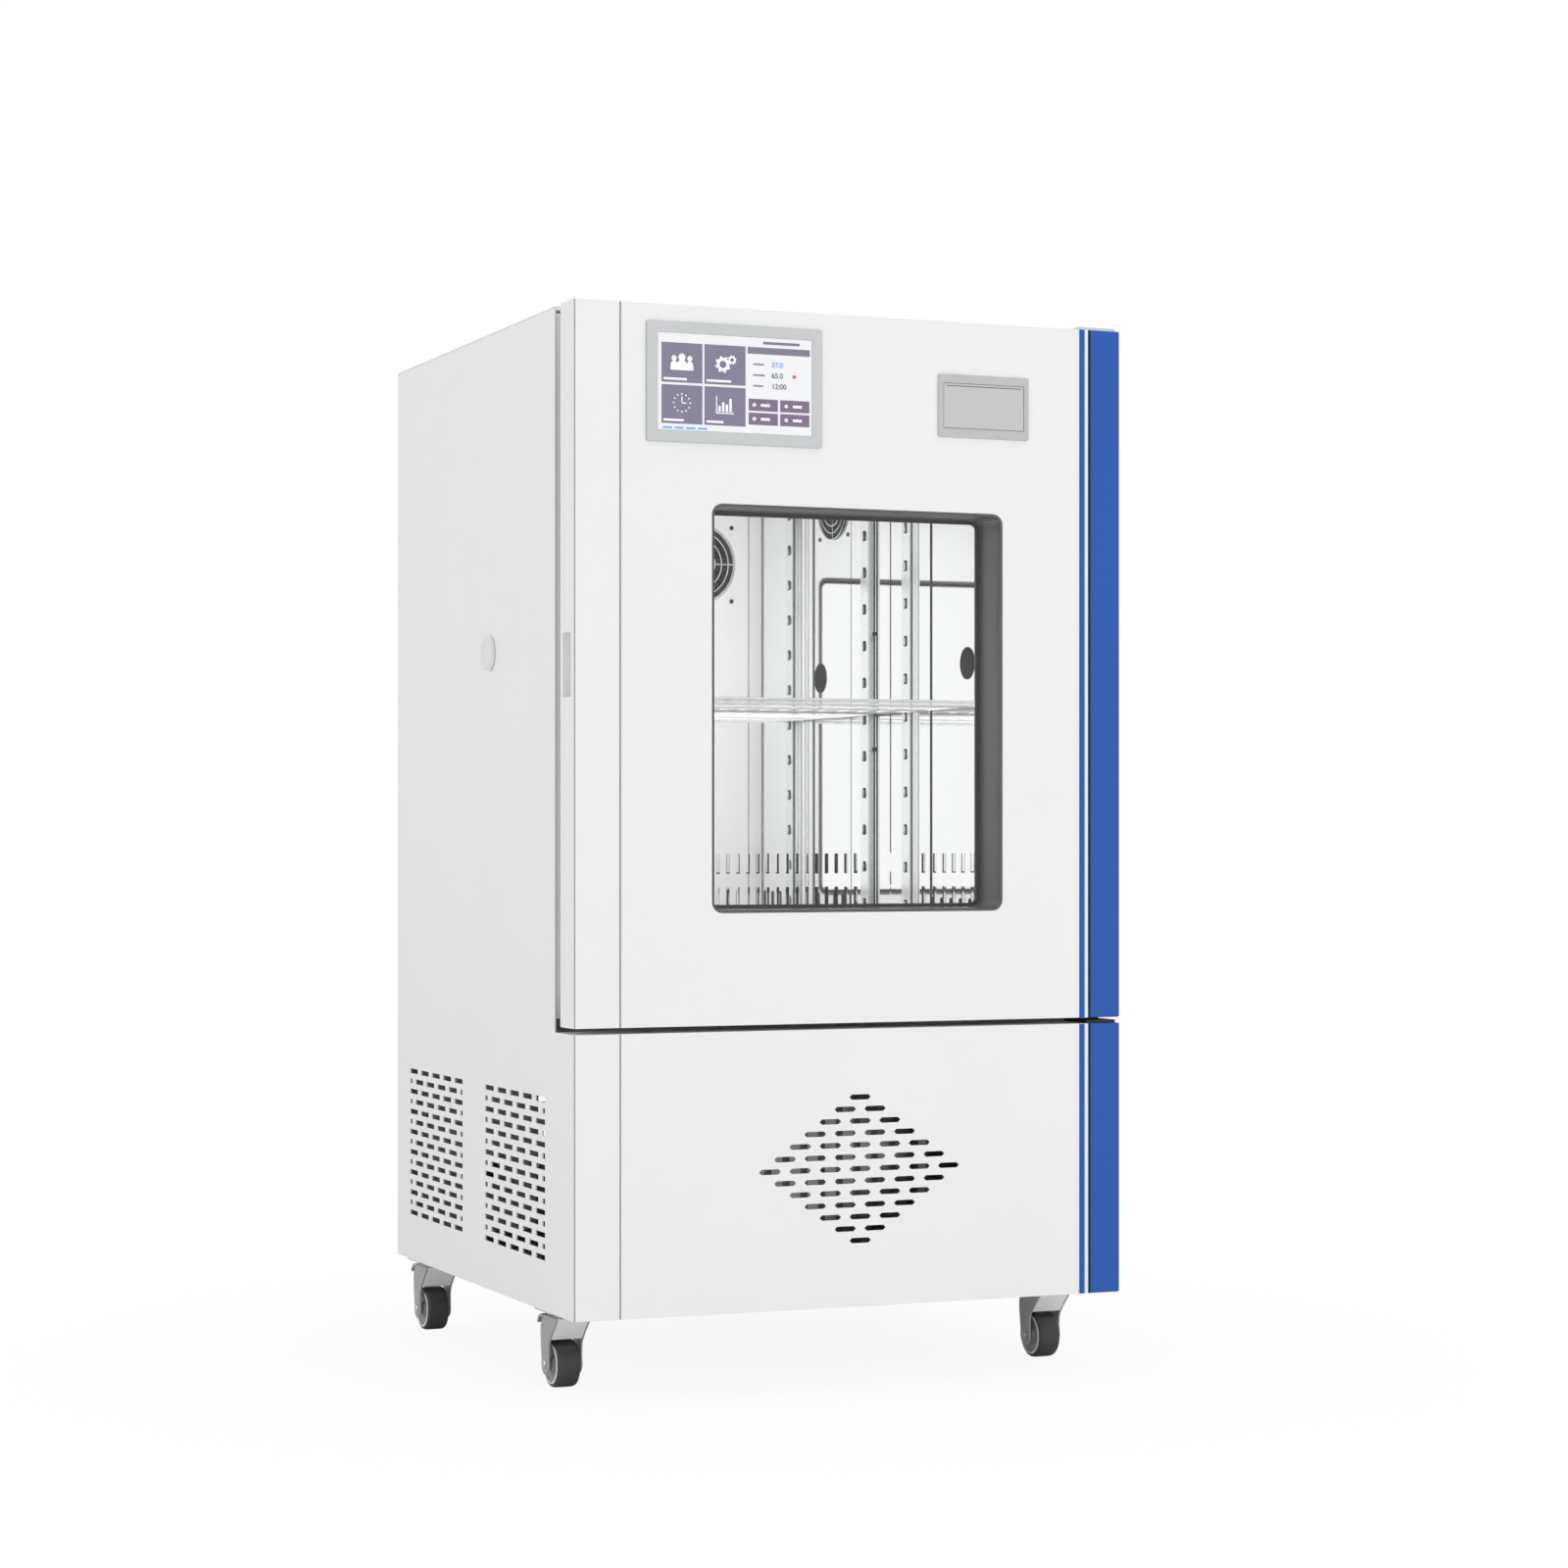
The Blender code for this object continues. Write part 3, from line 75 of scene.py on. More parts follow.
# Lines on the front, from the left side
SEAM_FROM_LEFT = 0.063
SEAM_END = 0.0014
SEAM_FACE = 0.0004  # how deep the strip of painted shade in the seam's groove starts and ends
SEAM_BACK = 0.0009
# The line on the door's bevelled left corner is painted shade
CORNER_SHADE_START = 0.0010
CORNER_SHADE_END = 0.0020
PINSTRIPE_FROM_LEFT = 0.726
PINSTRIPE_WIDE = 0.008
# A strip of painted shade on the step at the blue trim's left edge
TRIM_SHADE_WIDE = 0.0026
TRIM_SHADE_BACK = 0.0007

# The display's page, in shares of the screen's width and height
TILE_COLUMNS = ((0.022, 0.285), (0.298, 0.565))
TILE_ROWS = ((0.490, 0.900), (0.065, 0.465))
PICTURE_MIDDLES = ((0.153, 0.71), (0.43, 0.71), (0.153, 0.28), (0.43, 0.28))
PICTURE_SIZE = 0.1485
CAPTIONS = ((0.035, 0.515, 0.15), (0.311, 0.515, 0.16), (0.035, 0.09, 0.13), (0.311, 0.09, 0.11))
CAPTION_TALL = 0.022
KEY_COLUMNS = ((0.585, 0.777), (0.792, 0.985))
KEY_ROWS = ((0.235, 0.360), (0.090, 0.215))
KEY_MARK_LEFTS = (0.61, 0.82)
KEY_MARK_LOWS = (0.275, 0.130)
BAR = (0.578, 0.828, 0.988, 0.898)
TOP_LINE = (0.68, 0.932, 0.92, 0.960)
READING_CAPTION_LEFT = 0.615
READING_CAPTION_TALL = 0.016
READING_CAPTIONS = ((0.712, 0.070), (0.600, 0.075), (0.488, 0.065))
READINGS = (("37.0", 0.697), ("65.0", 0.585), ("12:00", 0.473))
READING_LEFT = 0.735
DOT_MIDDLE = (0.885, 0.608)
FOOT_BARS = 4
FOOT_STEP = 0.075

# On the display, in metres
READING_TALL = 0.0095
KEY_DOT = 0.0024
RED_DOT = 0.0026
PAGE_LIFT = 0.0001  # one layer of the page off the screen

# The printer's cover: the paper slot from its top, and the finger lip from its foot
PAPER_INSET = 0.004
PAPER_LOW = 0.0036
PAPER_HIGH = 0.0026
LIP_INSET = 0.045
LIP_LOW = 0.0015
LIP_HIGH = 0.0035

# The chamber, with depths measured from the front of the door
LINER_HALF = 0.330  # from its middle to the face of a side wall
CHAMBER_LOW = 0.558  # its floor
GUARD_WIRE = 0.0011
GUARD_INSET = 0.004
GUARD_BADGE = 0.013
GUARD_RINGS = (0.28, 0.46, 0.64, 0.82, 1.0)
GRILLE_WIRE = 0.0010
GRILLE_OFF_WALL = 0.0028
GRILLE_RINGS = (0.016, 0.027, 0.038, 0.049, 0.0595)
SIDE_FAN_DEPTH = 0.400
SIDE_FAN_LEVEL = 0.698  # above the chamber's floor
SIDE_FAN_SCREWS = 0.0555
HOOKS = 12
HOOK_FIRST = 0.03
HOOK_STEP = 0.0565
HOOK_PROUD = 0.0035
HOOK_ROOT = 0.004
HOOK_HALF = 0.0015
HOOK_ENDS = (0.002, 0.013)
# The patch of painted shade seen through each rail slot
PATCH_HALF = 0.0058
PATCH_ENDS = (0.0092, 0.0156)
PORT_RADIUS = 0.0235
RAIL_DEPTHS = (0.241, 0.541)  # of the rails' middles
WALL_SLOTS = 13
WALL_SLOT_START = 0.115
WALL_SLOT_STEP = 0.032
WALL_SLOT_ROWS = (0.081, 0.131)  # above the liner's lowest edge
WALL_SLOT_WIDE = 0.008
WALL_SLOT_TALL = 0.030
WALL_SLOT_CLEAR = 0.02  # a slot nearer than this to a rail's middle is left out
STRIP_DEPTHS = ((0.472, 0.512), (0.274, 0.318))
# Dark lines of painted shade along the wall strips' edges and in the channel
WALL_LINE_DEPTHS = (0.4704, 0.5125, 0.2715, 0.288, 0.300, 0.3185)
WALL_LINE_WIDE = 0.0016
# Lines of painted shade at the duct panel's edges
DUCT_LINES = (0.696, 0.7005, 0.088, 0.0835)  # from the left side
DUCT_LINE_WIDE = 0.0022
DUCT_CLIPS = (0.696, 0.0835)  # from the left side
DUCT_CLIP_LEVELS = (0.300, 0.475)  # above the chamber's floor
SEAL_WIDE = 0.0055

# The shelf's wires
SHELF_EDGE = 0.0019
SHELF_BAR = 0.0010
SHELF_STAY = 0.0015
SHELF_SPACES = 20
SHELF_STAY_PLACES = (0.33, 0.67)

# The port plugs
PLUG_PROUD = 0.0077
PLUG_STEM = 0.0215
PLUG_TIP = 0.0195

# The casters' pressed forms, heavier than the rigid solids have them
WHEEL_SIDES = 72
TREAD_WIDE = 0.032
RIM_RADIUS = 0.0272
RIM_RING = 0.0246  # inner edge of the pale ring on the wheel's side
TRAIL = 0.020  # from the swivel's axis back to the axle
AXLE_HIGH = 0.0315
FORK_HALF = 0.024
FORK_SHEET = 0.0026
LEG_END = 0.0145
WEB_LOW = 0.063
WEB_SHEET = 0.0022
TONGUE_HALF = 0.020
PEDAL_PIN_BACK = 0.018  # from the swivel's axis
PEDAL_PIN_HIGH = 0.082

# Screws, by the radius of their heads and their place from an edge
FAN_SCREW = 0.0035
SIDE_FAN_SCREW = 0.0036
PLATE_BOLT = 0.0048
PLATE_BOLT_FROM_EDGE = 0.007
PLATE_THICK = 0.0035
HINGE_SCREW = 0.0042
BACK_SCREW = 0.004
SCREW_FROM_SIDE = 0.014
HINGE_SCREWS_FROM_BACK = (0.02, 0.05)
BACK_SCREW_FROM_END = 0.02
BACK_SCREW_ROWS = 6

# The camera is level, so the photograph's verticals stay upright and a small shift sets the horizon
CAMERA_YAW = math.radians(22.6)
CAMERA_RIGHT = -0.2693  # of the cabinet's front left corner from the camera, in metres
CAMERA_AHEAD = 4.4845
CAMERA_HEIGHT = 0.7339
FOCAL_PIXELS = 3579.0
FRAME_PIXELS = 1600.0
HORIZON_PIXEL = 850.0
SENSOR = 36.0

# The floor and the lamps
FLOOR_RADIUS = 14.0
FLOOR_KEEP = 0.91  # share of the white page that shows through the floor's shadow
FADE_START = 0.35
FADE_END = 1.3
WORLD_LIGHT = 0.63
SOFT_BOXES = (  # name, place, target, size, power and whether metal mirrors it
    ("front_soft", (1.3, -5.2, 1.9), (0.0, 0.0, 0.6), 3.4, 68.0, False),
    ("top_soft", (0.3, -0.6, 4.6), (0.0, 0.0, 0.7), 3.0, 30.0, True),
    ("left_soft", (-5.0, -0.5, 1.9), (0.0, 0.0, 0.6), 3.2, 38.0, True),
)
CHAMBER_POWER = 0.5
DOOR_FACE_POWER = 4.6

# Finishes

CLOUD_SCALE = 7.0
CLOUD_DETAIL = 3.0
CLOUD_ENDS = (0.3, 0.7)
ROUGHNESS_SPREAD = 0.1
GRAIN_DETAIL = 2.0
GRAIN_DEPTH = 0.0002


def material(name, colour, roughness, metallic=0.0, grain=None, alpha=1.0, tint=0.02, shine=0.5):
    """A node-based finish: slow changes of colour and roughness, and a fine grain for the bump."""
    made = bpy.data.materials.new(name)
    made.use_nodes = True
    nodes, links = made.node_tree.nodes, made.node_tree.links
    shader = nodes["Principled BSDF"]
    shader.inputs["Metallic"].default_value = metallic
    shader.inputs["Alpha"].default_value = alpha
    shader.inputs["Specular IOR Level"].default_value = shine
    place = nodes.new("ShaderNodeTexCoord")
    cloud = nodes.new("ShaderNodeTexNoise")
    cloud.inputs["Scale"].default_value = CLOUD_SCALE
    cloud.inputs["Detail"].default_value = CLOUD_DETAIL
    links.new(place.outputs["Object"], cloud.inputs["Vector"])
    shade = nodes.new("ShaderNodeValToRGB")
    tints = ([c * (1 - tint) for c in colour], [min(c * (1 + tint), 1) for c in colour])
    for stop, position, shown in zip(shade.color_ramp.elements, CLOUD_ENDS, tints):
        stop.position = position
        stop.color = (*shown, 1)
    links.new(cloud.outputs["Fac"], shade.inputs["Fac"])
    links.new(shade.outputs["Color"], shader.inputs["Base Color"])
    spread = nodes.new("ShaderNodeMapRange")
    spread.inputs["To Min"].default_value = roughness * (1 - ROUGHNESS_SPREAD)
    spread.inputs["To Max"].default_value = roughness * (1 + ROUGHNESS_SPREAD)
    links.new(cloud.outputs["Fac"], spread.inputs["Value"])
    links.new(spread.outputs["Result"], shader.inputs["Roughness"])
    if grain:
        scale, strength, stretch = grain
        mapping = nodes.new("ShaderNodeMapping")
        mapping.inputs["Scale"].default_value = stretch
        links.new(place.outputs["Object"], mapping.inputs["Vector"])
        fine = nodes.new("ShaderNodeTexNoise")
        fine.inputs["Scale"].default_value = scale
        fine.inputs["Detail"].default_value = GRAIN_DETAIL
        links.new(mapping.outputs["Vector"], fine.inputs["Vector"])
        bump = nodes.new("ShaderNodeBump")
        bump.inputs["Strength"].default_value = strength
        bump.inputs["Distance"].default_value = GRAIN_DEPTH
        links.new(fine.outputs["Fac"], bump.inputs["Height"])
        links.new(bump.outputs["Normal"], shader.inputs["Normal"])
    return made


# Grains, each with its scale, its strength and how it is stretched
EVEN = (1.0, 1.0, 1.0)
UPRIGHT = (60.0, 60.0, 1.0)
POWDER = (900.0, 0.10, EVEN)
PLASTIC = (500.0, 0.10, EVEN)
PRINTER_SKIN = (700.0, 0.12, EVEN)
PRESSED = (220.0, 0.10, EVEN)
BRUSHED = (12.0, 0.05, UPRIGHT)
POLISHED = (3.0, 0.01, UPRIGHT)
LEVEL_BRUSHED = (60.0, 0.08, (1.0, 1.0, 40.0))

WHITE = material("white_powder_coat", (0.885, 0.885, 0.883), 0.42, grain=POWDER, tint=0.006)
BLUE = material("blue_paint", (0.020, 0.104, 0.425), 0.45, grain=POWDER, shine=0.3)
# Painted shade for the step at the blue trim's edge
BLUE_SHADE = material("blue_shadow_gap", (0.004, 0.014, 0.05), 0.5, shine=0.2)
# Painted shade for dark lines: in the seam's groove, on the bevelled corner, in the paper slot and along the
# chamber wall's strips
LINE_SHADE = material("painted_line_shade", (0.10, 0.10, 0.10), 0.6, shine=0.2)
STAINLESS = material("polished_stainless", (0.90, 0.91, 0.915), 0.16, 1.0, BRUSHED, tint=0.01)
LINER_STEEL = material("liner_stainless", (0.965, 0.97, 0.972), 0.025, 1.0, POLISHED, tint=0.004)
# Painted shade for openings: rail slots, port mouths, wall slots, the side fan's opening and the duct panel's
# edges
HOLE_SHADE = material("painted_hole_shade", (0.010, 0.010, 0.011), 0.8, shine=0.1)
ZINC = material("bright_zinc", (0.62, 0.64, 0.66), 0.30, 1.0, (160.0, 0.12, EVEN), tint=0.05)
# Lit and shaded copies of the fork's zinc: painted shade on the legs and pedal, painted light on the web and
# crown
FORK_SHADE = material("fork_zinc_painted_shade", (0.39, 0.395, 0.40), 0.45, 0.2, PRESSED, tint=0.03)
FORK_LIGHT = material("fork_zinc_painted_light", (0.90, 0.905, 0.91), 0.40, 0.0, PRESSED)
WHEEL_SIDE = material("wheel_side_plastic", (0.40, 0.40, 0.405), 0.5, grain=PLASTIC)
FOAM = material("rigid_foam", (0.78, 0.72, 0.52), 0.9, grain=(300.0, 0.6, EVEN), tint=0.06)
FRAME_GREY = material("window_frame_grey", (0.105, 0.105, 0.105), 0.45, grain=PLASTIC, tint=0.03)
GLASS = material("clear_glass", (0.93, 0.97, 0.96), 0.02, alpha=0.02, tint=0.0, shine=0.15)
GASKET = material("gasket_rubber", (0.80, 0.80, 0.80), 0.6, grain=(400.0, 0.2, EVEN))
BEZEL = material("bezel_aluminium", (0.585, 0.602, 0.610), 0.42, 0.2, LEVEL_BRUSHED)
PRINTER = material("printer_grey", (0.53, 0.53, 0.525), 0.42, grain=PRINTER_SKIN, tint=0.015)
COVER = material("printer_cover_grey", (0.565, 0.565, 0.56), 0.36, grain=PRINTER_SKIN, tint=0.015)
BLACK = material("black_paint", (0.018, 0.018, 0.018), 0.45, grain=PLASTIC)
FAN_BLACK = material("fan_plastic", (0.025, 0.025, 0.027), 0.5, grain=(500.0, 0.15, EVEN))
TYRE = material("tyre_rubber", (0.050, 0.050, 0.050), 0.55, grain=(350.0, 0.25, EVEN), tint=0.12)
RIM = material("rim_plastic", (0.88, 0.88, 0.88), 0.4, grain=PLASTIC)
SHELF_WIRE = material("shelf_wire", (0.93, 0.932, 0.935), 0.40, 0.3, BRUSHED, tint=0.01)
PLUG = material("plug_silicone", (0.84, 0.84, 0.83), 0.5, grain=(400.0, 0.15, EVEN))
TANK = material("tank_polythene", (0.80, 0.82, 0.82), 0.5, grain=(200.0, 0.1, EVEN), tint=0.03)

LIT = 0.35  # strength of the display's own light


def glow(name, colour):
    """A finish of the display, which gives off a little of its own colour."""
    made = material(name, colour, 0.25, tint=0.01)
    shader = made.node_tree.nodes["Principled BSDF"]
    shader.inputs["Emission Color"].default_value = (*colour, 1)
    shader.inputs["Emission Strength"].default_value = LIT
    return made


PAGE = glow("display_page", (0.67, 0.675, 0.69))
TILE = glow("display_tile", (0.165, 0.150, 0.215))
PURPLE = glow("display_key", (0.16, 0.115, 0.19))
INK = glow("display_ink", (0.15, 0.16, 0.21))
ICON = glow("display_icon", (0.80, 0.80, 0.82))
LINK = glow("display_blue", (0.12, 0.33, 0.72))
RED = glow("display_red", (0.62, 0.05, 0.05))

NODE_FINISH = {
    WHITE: (
        "left_side_panel", "right_side_panel", "top_cover", "back_panel", "lower_front_panel", "door_shell",
        "door_liner",
    ),
    BLUE: ("lower_blue_trim", "door_blue_trim"),
    LINER_STEEL: ("inner_liner", "duct_panel"),
    STAINLESS: tuple("shelf_rail_" + corner for corner in CORNERS),
    ZINC: (
        "base_frame", "evaporator", "condenser", "control_box", "upper_hinge_bracket",
        *("caster_plate_" + corner for corner in CORNERS),
    ),
    FOAM: ("insulation",),
    FRAME_GREY: ("window_frame",),
    GLASS: PANES,
    GASKET: ("door_gasket",),
    BEZEL: ("display_bezel",),
    PAGE: ("display_screen",),
    PRINTER: ("printer_bezel",),
    COVER: ("printer_cover",),
    BLACK: ("compressor", "lower_hinge_bracket", "power_inlet"),
    FAN_BLACK: ("fan_frame", "condenser_fan", "fan_rotor"),
    TANK: ("humidifier_tank",),
}
SOFT_EDGES = {
    "door_shell": 0.0012, "lower_front_panel": 0.0008, "left_side_panel": 0.0006,
    "right_side_panel": 0.0006, "top_cover": 0.0008, "back_panel": 0.0006, "door_blue_trim": 0.0012,
    "lower_blue_trim": 0.0012, "display_bezel": 0.0006, "printer_bezel": 0.0006, "printer_cover": 0.0004,
    "window_frame": 0.0008, "upper_hinge_bracket": 0.0006, "lower_hinge_bracket": 0.0006,
    "door_gasket": 0.003, "door_liner": 0.0008,
}
SOFT_ANGLE = 50.0
WELD_WITHIN = 0.00002


def soften(made, width, angle):
    """Rounds the edges where two faces meet at more than the angle."""
    soft = made.modifiers.new("soft_edges", "BEVEL")
    soft.width = width
    soft.segments = 2
    soft.limit_method = "ANGLE"
    soft.angle_limit = math.radians(angle)


def dress_nodes():
    """Gives each carried-over node its finish, and softens the edges that show."""
    for paint, names in NODE_FINISH.items():
        for name in names:
            slots = NODES[name].data.materials
            slots.clear()
            slots.append(paint)
    # The polished walls are to mirror the room through the window, and not the panes
    for name in PANES:
        NODES[name].visible_glossy = False
    for name, width in SOFT_EDGES.items():
        weld = NODES[name].modifiers.new("weld", "WELD")
        weld.merge_threshold = WELD_WITHIN
        soften(NODES[name], width, SOFT_ANGLE)


# Modelling helpers

MERGE_WITHIN = 0.000005
SMOOTH_ANGLE = 40.0
WIRE_ROUND = 3
AXES = {
    "X": Matrix.Rotation(math.pi / 2, 4, "Y"),
    "Y": Matrix.Rotation(-math.pi / 2, 4, "X"),
    "Z": Matrix(),
}


def put(name, data):
    """Adds an object that shows a mesh, a curve, a lamp or a camera."""
    made = bpy.data.objects.new(name, data)
    bpy.context.scene.collection.objects.link(made)
    return made


def new_piece(name, geometry, paint, body, smooth=SMOOTH_ANGLE):
    """Makes a piece from mesh code, rides it on a body and shades what is round smooth."""
    bmesh.ops.recalc_face_normals(geometry, faces=geometry.faces)
    mesh = bpy.data.meshes.new(name)
    geometry.to_mesh(mesh)
    geometry.free()
    mesh.shade_smooth()
    mesh.set_sharp_from_angle(angle=math.radians(smooth))
    mesh.materials.append(paint)
    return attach(put(name, mesh), body)


def mesh_of(curve):
    """The mesh of a curve or a text."""
    drawn = put(curve.name + "_path", curve)
    mesh = bpy.data.meshes.new_from_object(drawn.evaluated_get(bpy.context.evaluated_depsgraph_get()))
    bpy.data.objects.remove(drawn)
    return mesh


def arc(centre, radius, start, end, steps):
    """Points along an arc, with its ends in degrees."""
    turns = [math.radians(start + (end - start) * k / steps) for k in range(steps + 1)]
    return [(centre[0] + radius * math.cos(t), centre[1] + radius * math.sin(t)) for t in turns]


def circle(radius, sides=64):
    """Offsets (across, up) round a whole circle."""
    turns = [math.tau * k / sides for k in range(sides)]
    return [(radius * math.cos(t), radius * math.sin(t)) for t in turns]


def four_corners(half):
    """Offsets (across, up) to the corners of a square."""
    return [(across * half, up * half) for across in (-1, 1) for up in (-1, 1)]


def rectangle(left, low, right, high):
    """The outline of a rectangle."""
    return [(left, low), (right, low), (right, high), (left, high)]


def rounded(left, low, right, high, radius, steps=5):
    """The outline of a rectangle with round corners."""
    return (
        arc((right - radius, high - radius), radius, 0, 90, steps)
        + arc((left + radius, high - radius), radius, 90, 180, steps)
        + arc((left + radius, low + radius), radius, 180, 270, steps)
        + arc((right - radius, low + radius), radius, 270, 360, steps)
    )


def spline_points(points, steps):
    """A smooth open curve through points."""
    found = []
    for k in range(len(points) - 1):
        p0, p1 = points[max(k - 1, 0)], points[k]
        p2, p3 = points[k + 1], points[min(k + 2, len(points) - 1)]
        for j in range(steps):
            t = j / steps
            found.append(tuple(
                0.5 * (
                    2 * b + (c - a) * t + (2 * a - 5 * b + 4 * c - d) * t * t
                    + (3 * b - a - 3 * c + d) * t ** 3
                )
                for a, b, c, d in zip(p0, p1, p2, p3)
            ))
    return found + [points[-1]]


def other_side(profile):
    """A wheel's profile mirrored to its far side, in the order that carries it on."""
    return [(radius, -along) for radius, along in reversed(profile)]


def push_out(geometry, outline, push):
    """Adds a flat outline and pushes it out into a plate."""
    face = geometry.faces.new([geometry.verts.new(point) for point in outline])
    pushed = bmesh.ops.extrude_face_region(geometry, geom=[face])
    moved = [g for g in pushed["geom"] if isinstance(g, bmesh.types.BMVert)]
    bmesh.ops.translate(geometry, verts=moved, vec=push)


def front_plate(geometry, points, back, front):
    """Adds an outline of (x, z) points as a plate from y = back to y = front."""
    push_out(geometry, [(x, back, z) for x, z in points], (0.0, front - back, 0.0))


def side_plate(geometry, points, x0, x1):
    """Adds an outline of (y, z) points as a plate from x0 to x1."""
    push_out(geometry, [(x0, y, z) for y, z in points], (x1 - x0, 0.0, 0.0))


def plates(name, outlines, back, front, paint, body):
    """One piece of flat plates that face the front."""
    geometry = bmesh.new()
    for points in outlines:
        front_plate(geometry, points, back, front)
    return new_piece(name, geometry, paint, body)


def wall_patch(name, outlines, sign, thick, paint):
    """Flat shapes of (y, z) points lying on a chamber side wall, as one piece."""
    wall = LINER_HALF - SMALL
    geometry = bmesh.new()
    for points in outlines:
        side_plate(geometry, points, sign * wall, sign * (wall - thick))
    return new_piece(name, geometry, paint, "cabinet")


def frame_plate(geometry, outside, inside, back, front):
    """A flat ring between two outlines with as many points, as a plate from y = back to y = front."""
    rings = []
    for y in (back, front):
        rings.append([geometry.verts.new((x, y, z)) for x, z in outside])
        rings.append([geometry.verts.new((x, y, z)) for x, z in inside])
    count = len(outside)
    for k in range(count):
        n = (k + 1) % count
        for a, b in ((0, 1), (1, 3), (3, 2), (2, 0)):
            geometry.faces.new((rings[a][k], rings[a][n], rings[b][n], rings[b][k]))


def fresh(geometry):
    """The points that no turned shape has taken yet."""
    return [vert for vert in geometry.verts if not vert.tag]


def lathe(geometry, profile, middle, axis, sides=64):
    """Adds a turned shape from (radius, along) points; a profile that starts off the axis makes a ring."""
    made = [geometry.verts.new((radius, 0.0, along)) for radius, along in profile]
    edges = [geometry.edges.new(pair) for pair in zip(made, made[1:])]
    if profile[0][0] > 0.0:
        edges.append(geometry.edges.new((made[-1], made[0])))
    bmesh.ops.spin(
        geometry, geom=made + edges, cent=(0, 0, 0), axis=(0, 0, 1), angle=math.tau, steps=sides,
        use_merge=True, use_duplicate=False,
    )
    bmesh.ops.remove_doubles(geometry, verts=fresh(geometry), dist=MERGE_WITHIN)
    place = Matrix.Translation(middle) @ AXES[axis]
    bmesh.ops.transform(geometry, matrix=place, verts=fresh(geometry))
    for vert in geometry.verts:
        vert.tag = True


def turned(name, profile, middle, axis, paint, body, sides=64):
    """One turned piece."""
    geometry = bmesh.new()
    lathe(geometry, profile, middle, axis, sides)
    return new_piece(name, geometry, paint, body)


def tube(name, paths, radius, paint, body, cyclic=False):
    """Round wire along one or more point lists, as one curve turned into a mesh."""
    curve = bpy.data.curves.new(name, "CURVE")
    curve.dimensions = "3D"
    curve.bevel_depth = radius
    curve.bevel_resolution = WIRE_ROUND
    curve.use_fill_caps = True
    for path in paths:
        spline = curve.splines.new("POLY")
        spline.points.add(len(path) - 1)
        for point, place in zip(spline.points, path):
            point.co = (*place, 1.0)
        spline.use_cyclic_u = cyclic
    geometry = bmesh.new()
    geometry.from_mesh(mesh_of(curve))
    bmesh.ops.remove_doubles(geometry, verts=geometry.verts, dist=MERGE_WITHIN)
    return new_piece(name, geometry, paint, body)


def bevelled_box(geometry, low, high, bevel):
    """Adds a box with rounded edges."""
    low, high = Vector(low), Vector(high)
    place = Matrix.Translation((low + high) / 2) @ Matrix.Diagonal((*(high - low), 1.0))
    made = bmesh.ops.create_cube(geometry, size=1.0, matrix=place)["verts"]
    edges = list({edge for vert in made for edge in vert.link_edges})
    bmesh.ops.bevel(geometry, geom=edges, offset=bevel, segments=2, affect="EDGES", profile=0.5)


def screw_heads(name, middles, axis, sign, radius, paint, body):
    """Low domed screw heads with a round recess, as one piece; sign is the way they face on the axis."""
    dome = [
        (0.0, 0.0009), (radius * 0.16, 0.0009), (radius * 0.20, 0.0016), (radius * 0.6, 0.0015),
        (radius * 0.9, 0.0010), (radius, 0.0002), (radius, -0.0002), (0.0, -0.0002),
    ]
    geometry = bmesh.new()
    for middle in middles:
        lathe(geometry, [(r, sign * along) for r, along in dome], Vector(middle), axis, 20)
    return new_piece(name, geometry, paint, body)


def grille(ring_name, spoke_name, place, radii, hub, wire, behind):
    """Rings of round wire with four spokes; place turns (across, back, up) offsets into a point."""
    rings = [[place(across, 0.0, up) for across, up in circle(radius)] for radius in radii]
    spokes = []
    for k in range(4):
        t = math.tau * k / 4
        ends = (hub, radii[-1])
        spokes.append([place(radius * math.cos(t), behind, radius * math.sin(t)) for radius in ends])
    ring_wire = tube(ring_name, rings, wire, STAINLESS, "cabinet", cyclic=True)
    tube(spoke_name, spokes, wire, STAINLESS, "cabinet")
    return ring_wire


# Door


def stripes():
    """The thin blue line beside each blue trim, a strip of painted shade on the trim's step, the seam's
    groove darkened with painted shade, and a line of painted shade on the door's bevelled corner.
    """
    line = LEFT + PINSTRIPE_FROM_LEFT
    gap = TRIM_LEFT + HAIR
    seam = LEFT + SEAM_FROM_LEFT
    # The last three strips are painted shade: on the trim's step, in the seam's groove and on the bevelled
    # corner
    strips = (
        ("_pinstripe", line, line + PINSTRIPE_WIDE, FRONT - SMALL / 2, FRONT - SMALL * 2, BLUE),
        ("_trim_shade", gap, gap + TRIM_SHADE_WIDE, FRONT + TRIM_SHADE_BACK, FRONT - SMALL, BLUE_SHADE),
        ("_seam", seam + HAIR, seam + SEAM_END, FRONT + SEAM_BACK, FRONT + SEAM_FACE, LINE_SHADE),
        ("_corner_shade", LEFT + CORNER_SHADE_START, LEFT + CORNER_SHADE_END, FRONT + SMALL, FRONT - SMALL, LINE_SHADE),
    )
    for label, body, low, high in (
        ("door", "door", DOOR_LOW.z, DOOR_HIGH.z), ("panel", "cabinet", PANEL_LOW.z, PANEL_HIGH.z),
    ):
        for ending, left, right, back, front, paint in strips:
            strip = rectangle(left, low + SMALL, right, high - SMALL)
            plates(label + ending, [strip], back, front, paint, body)


# Display


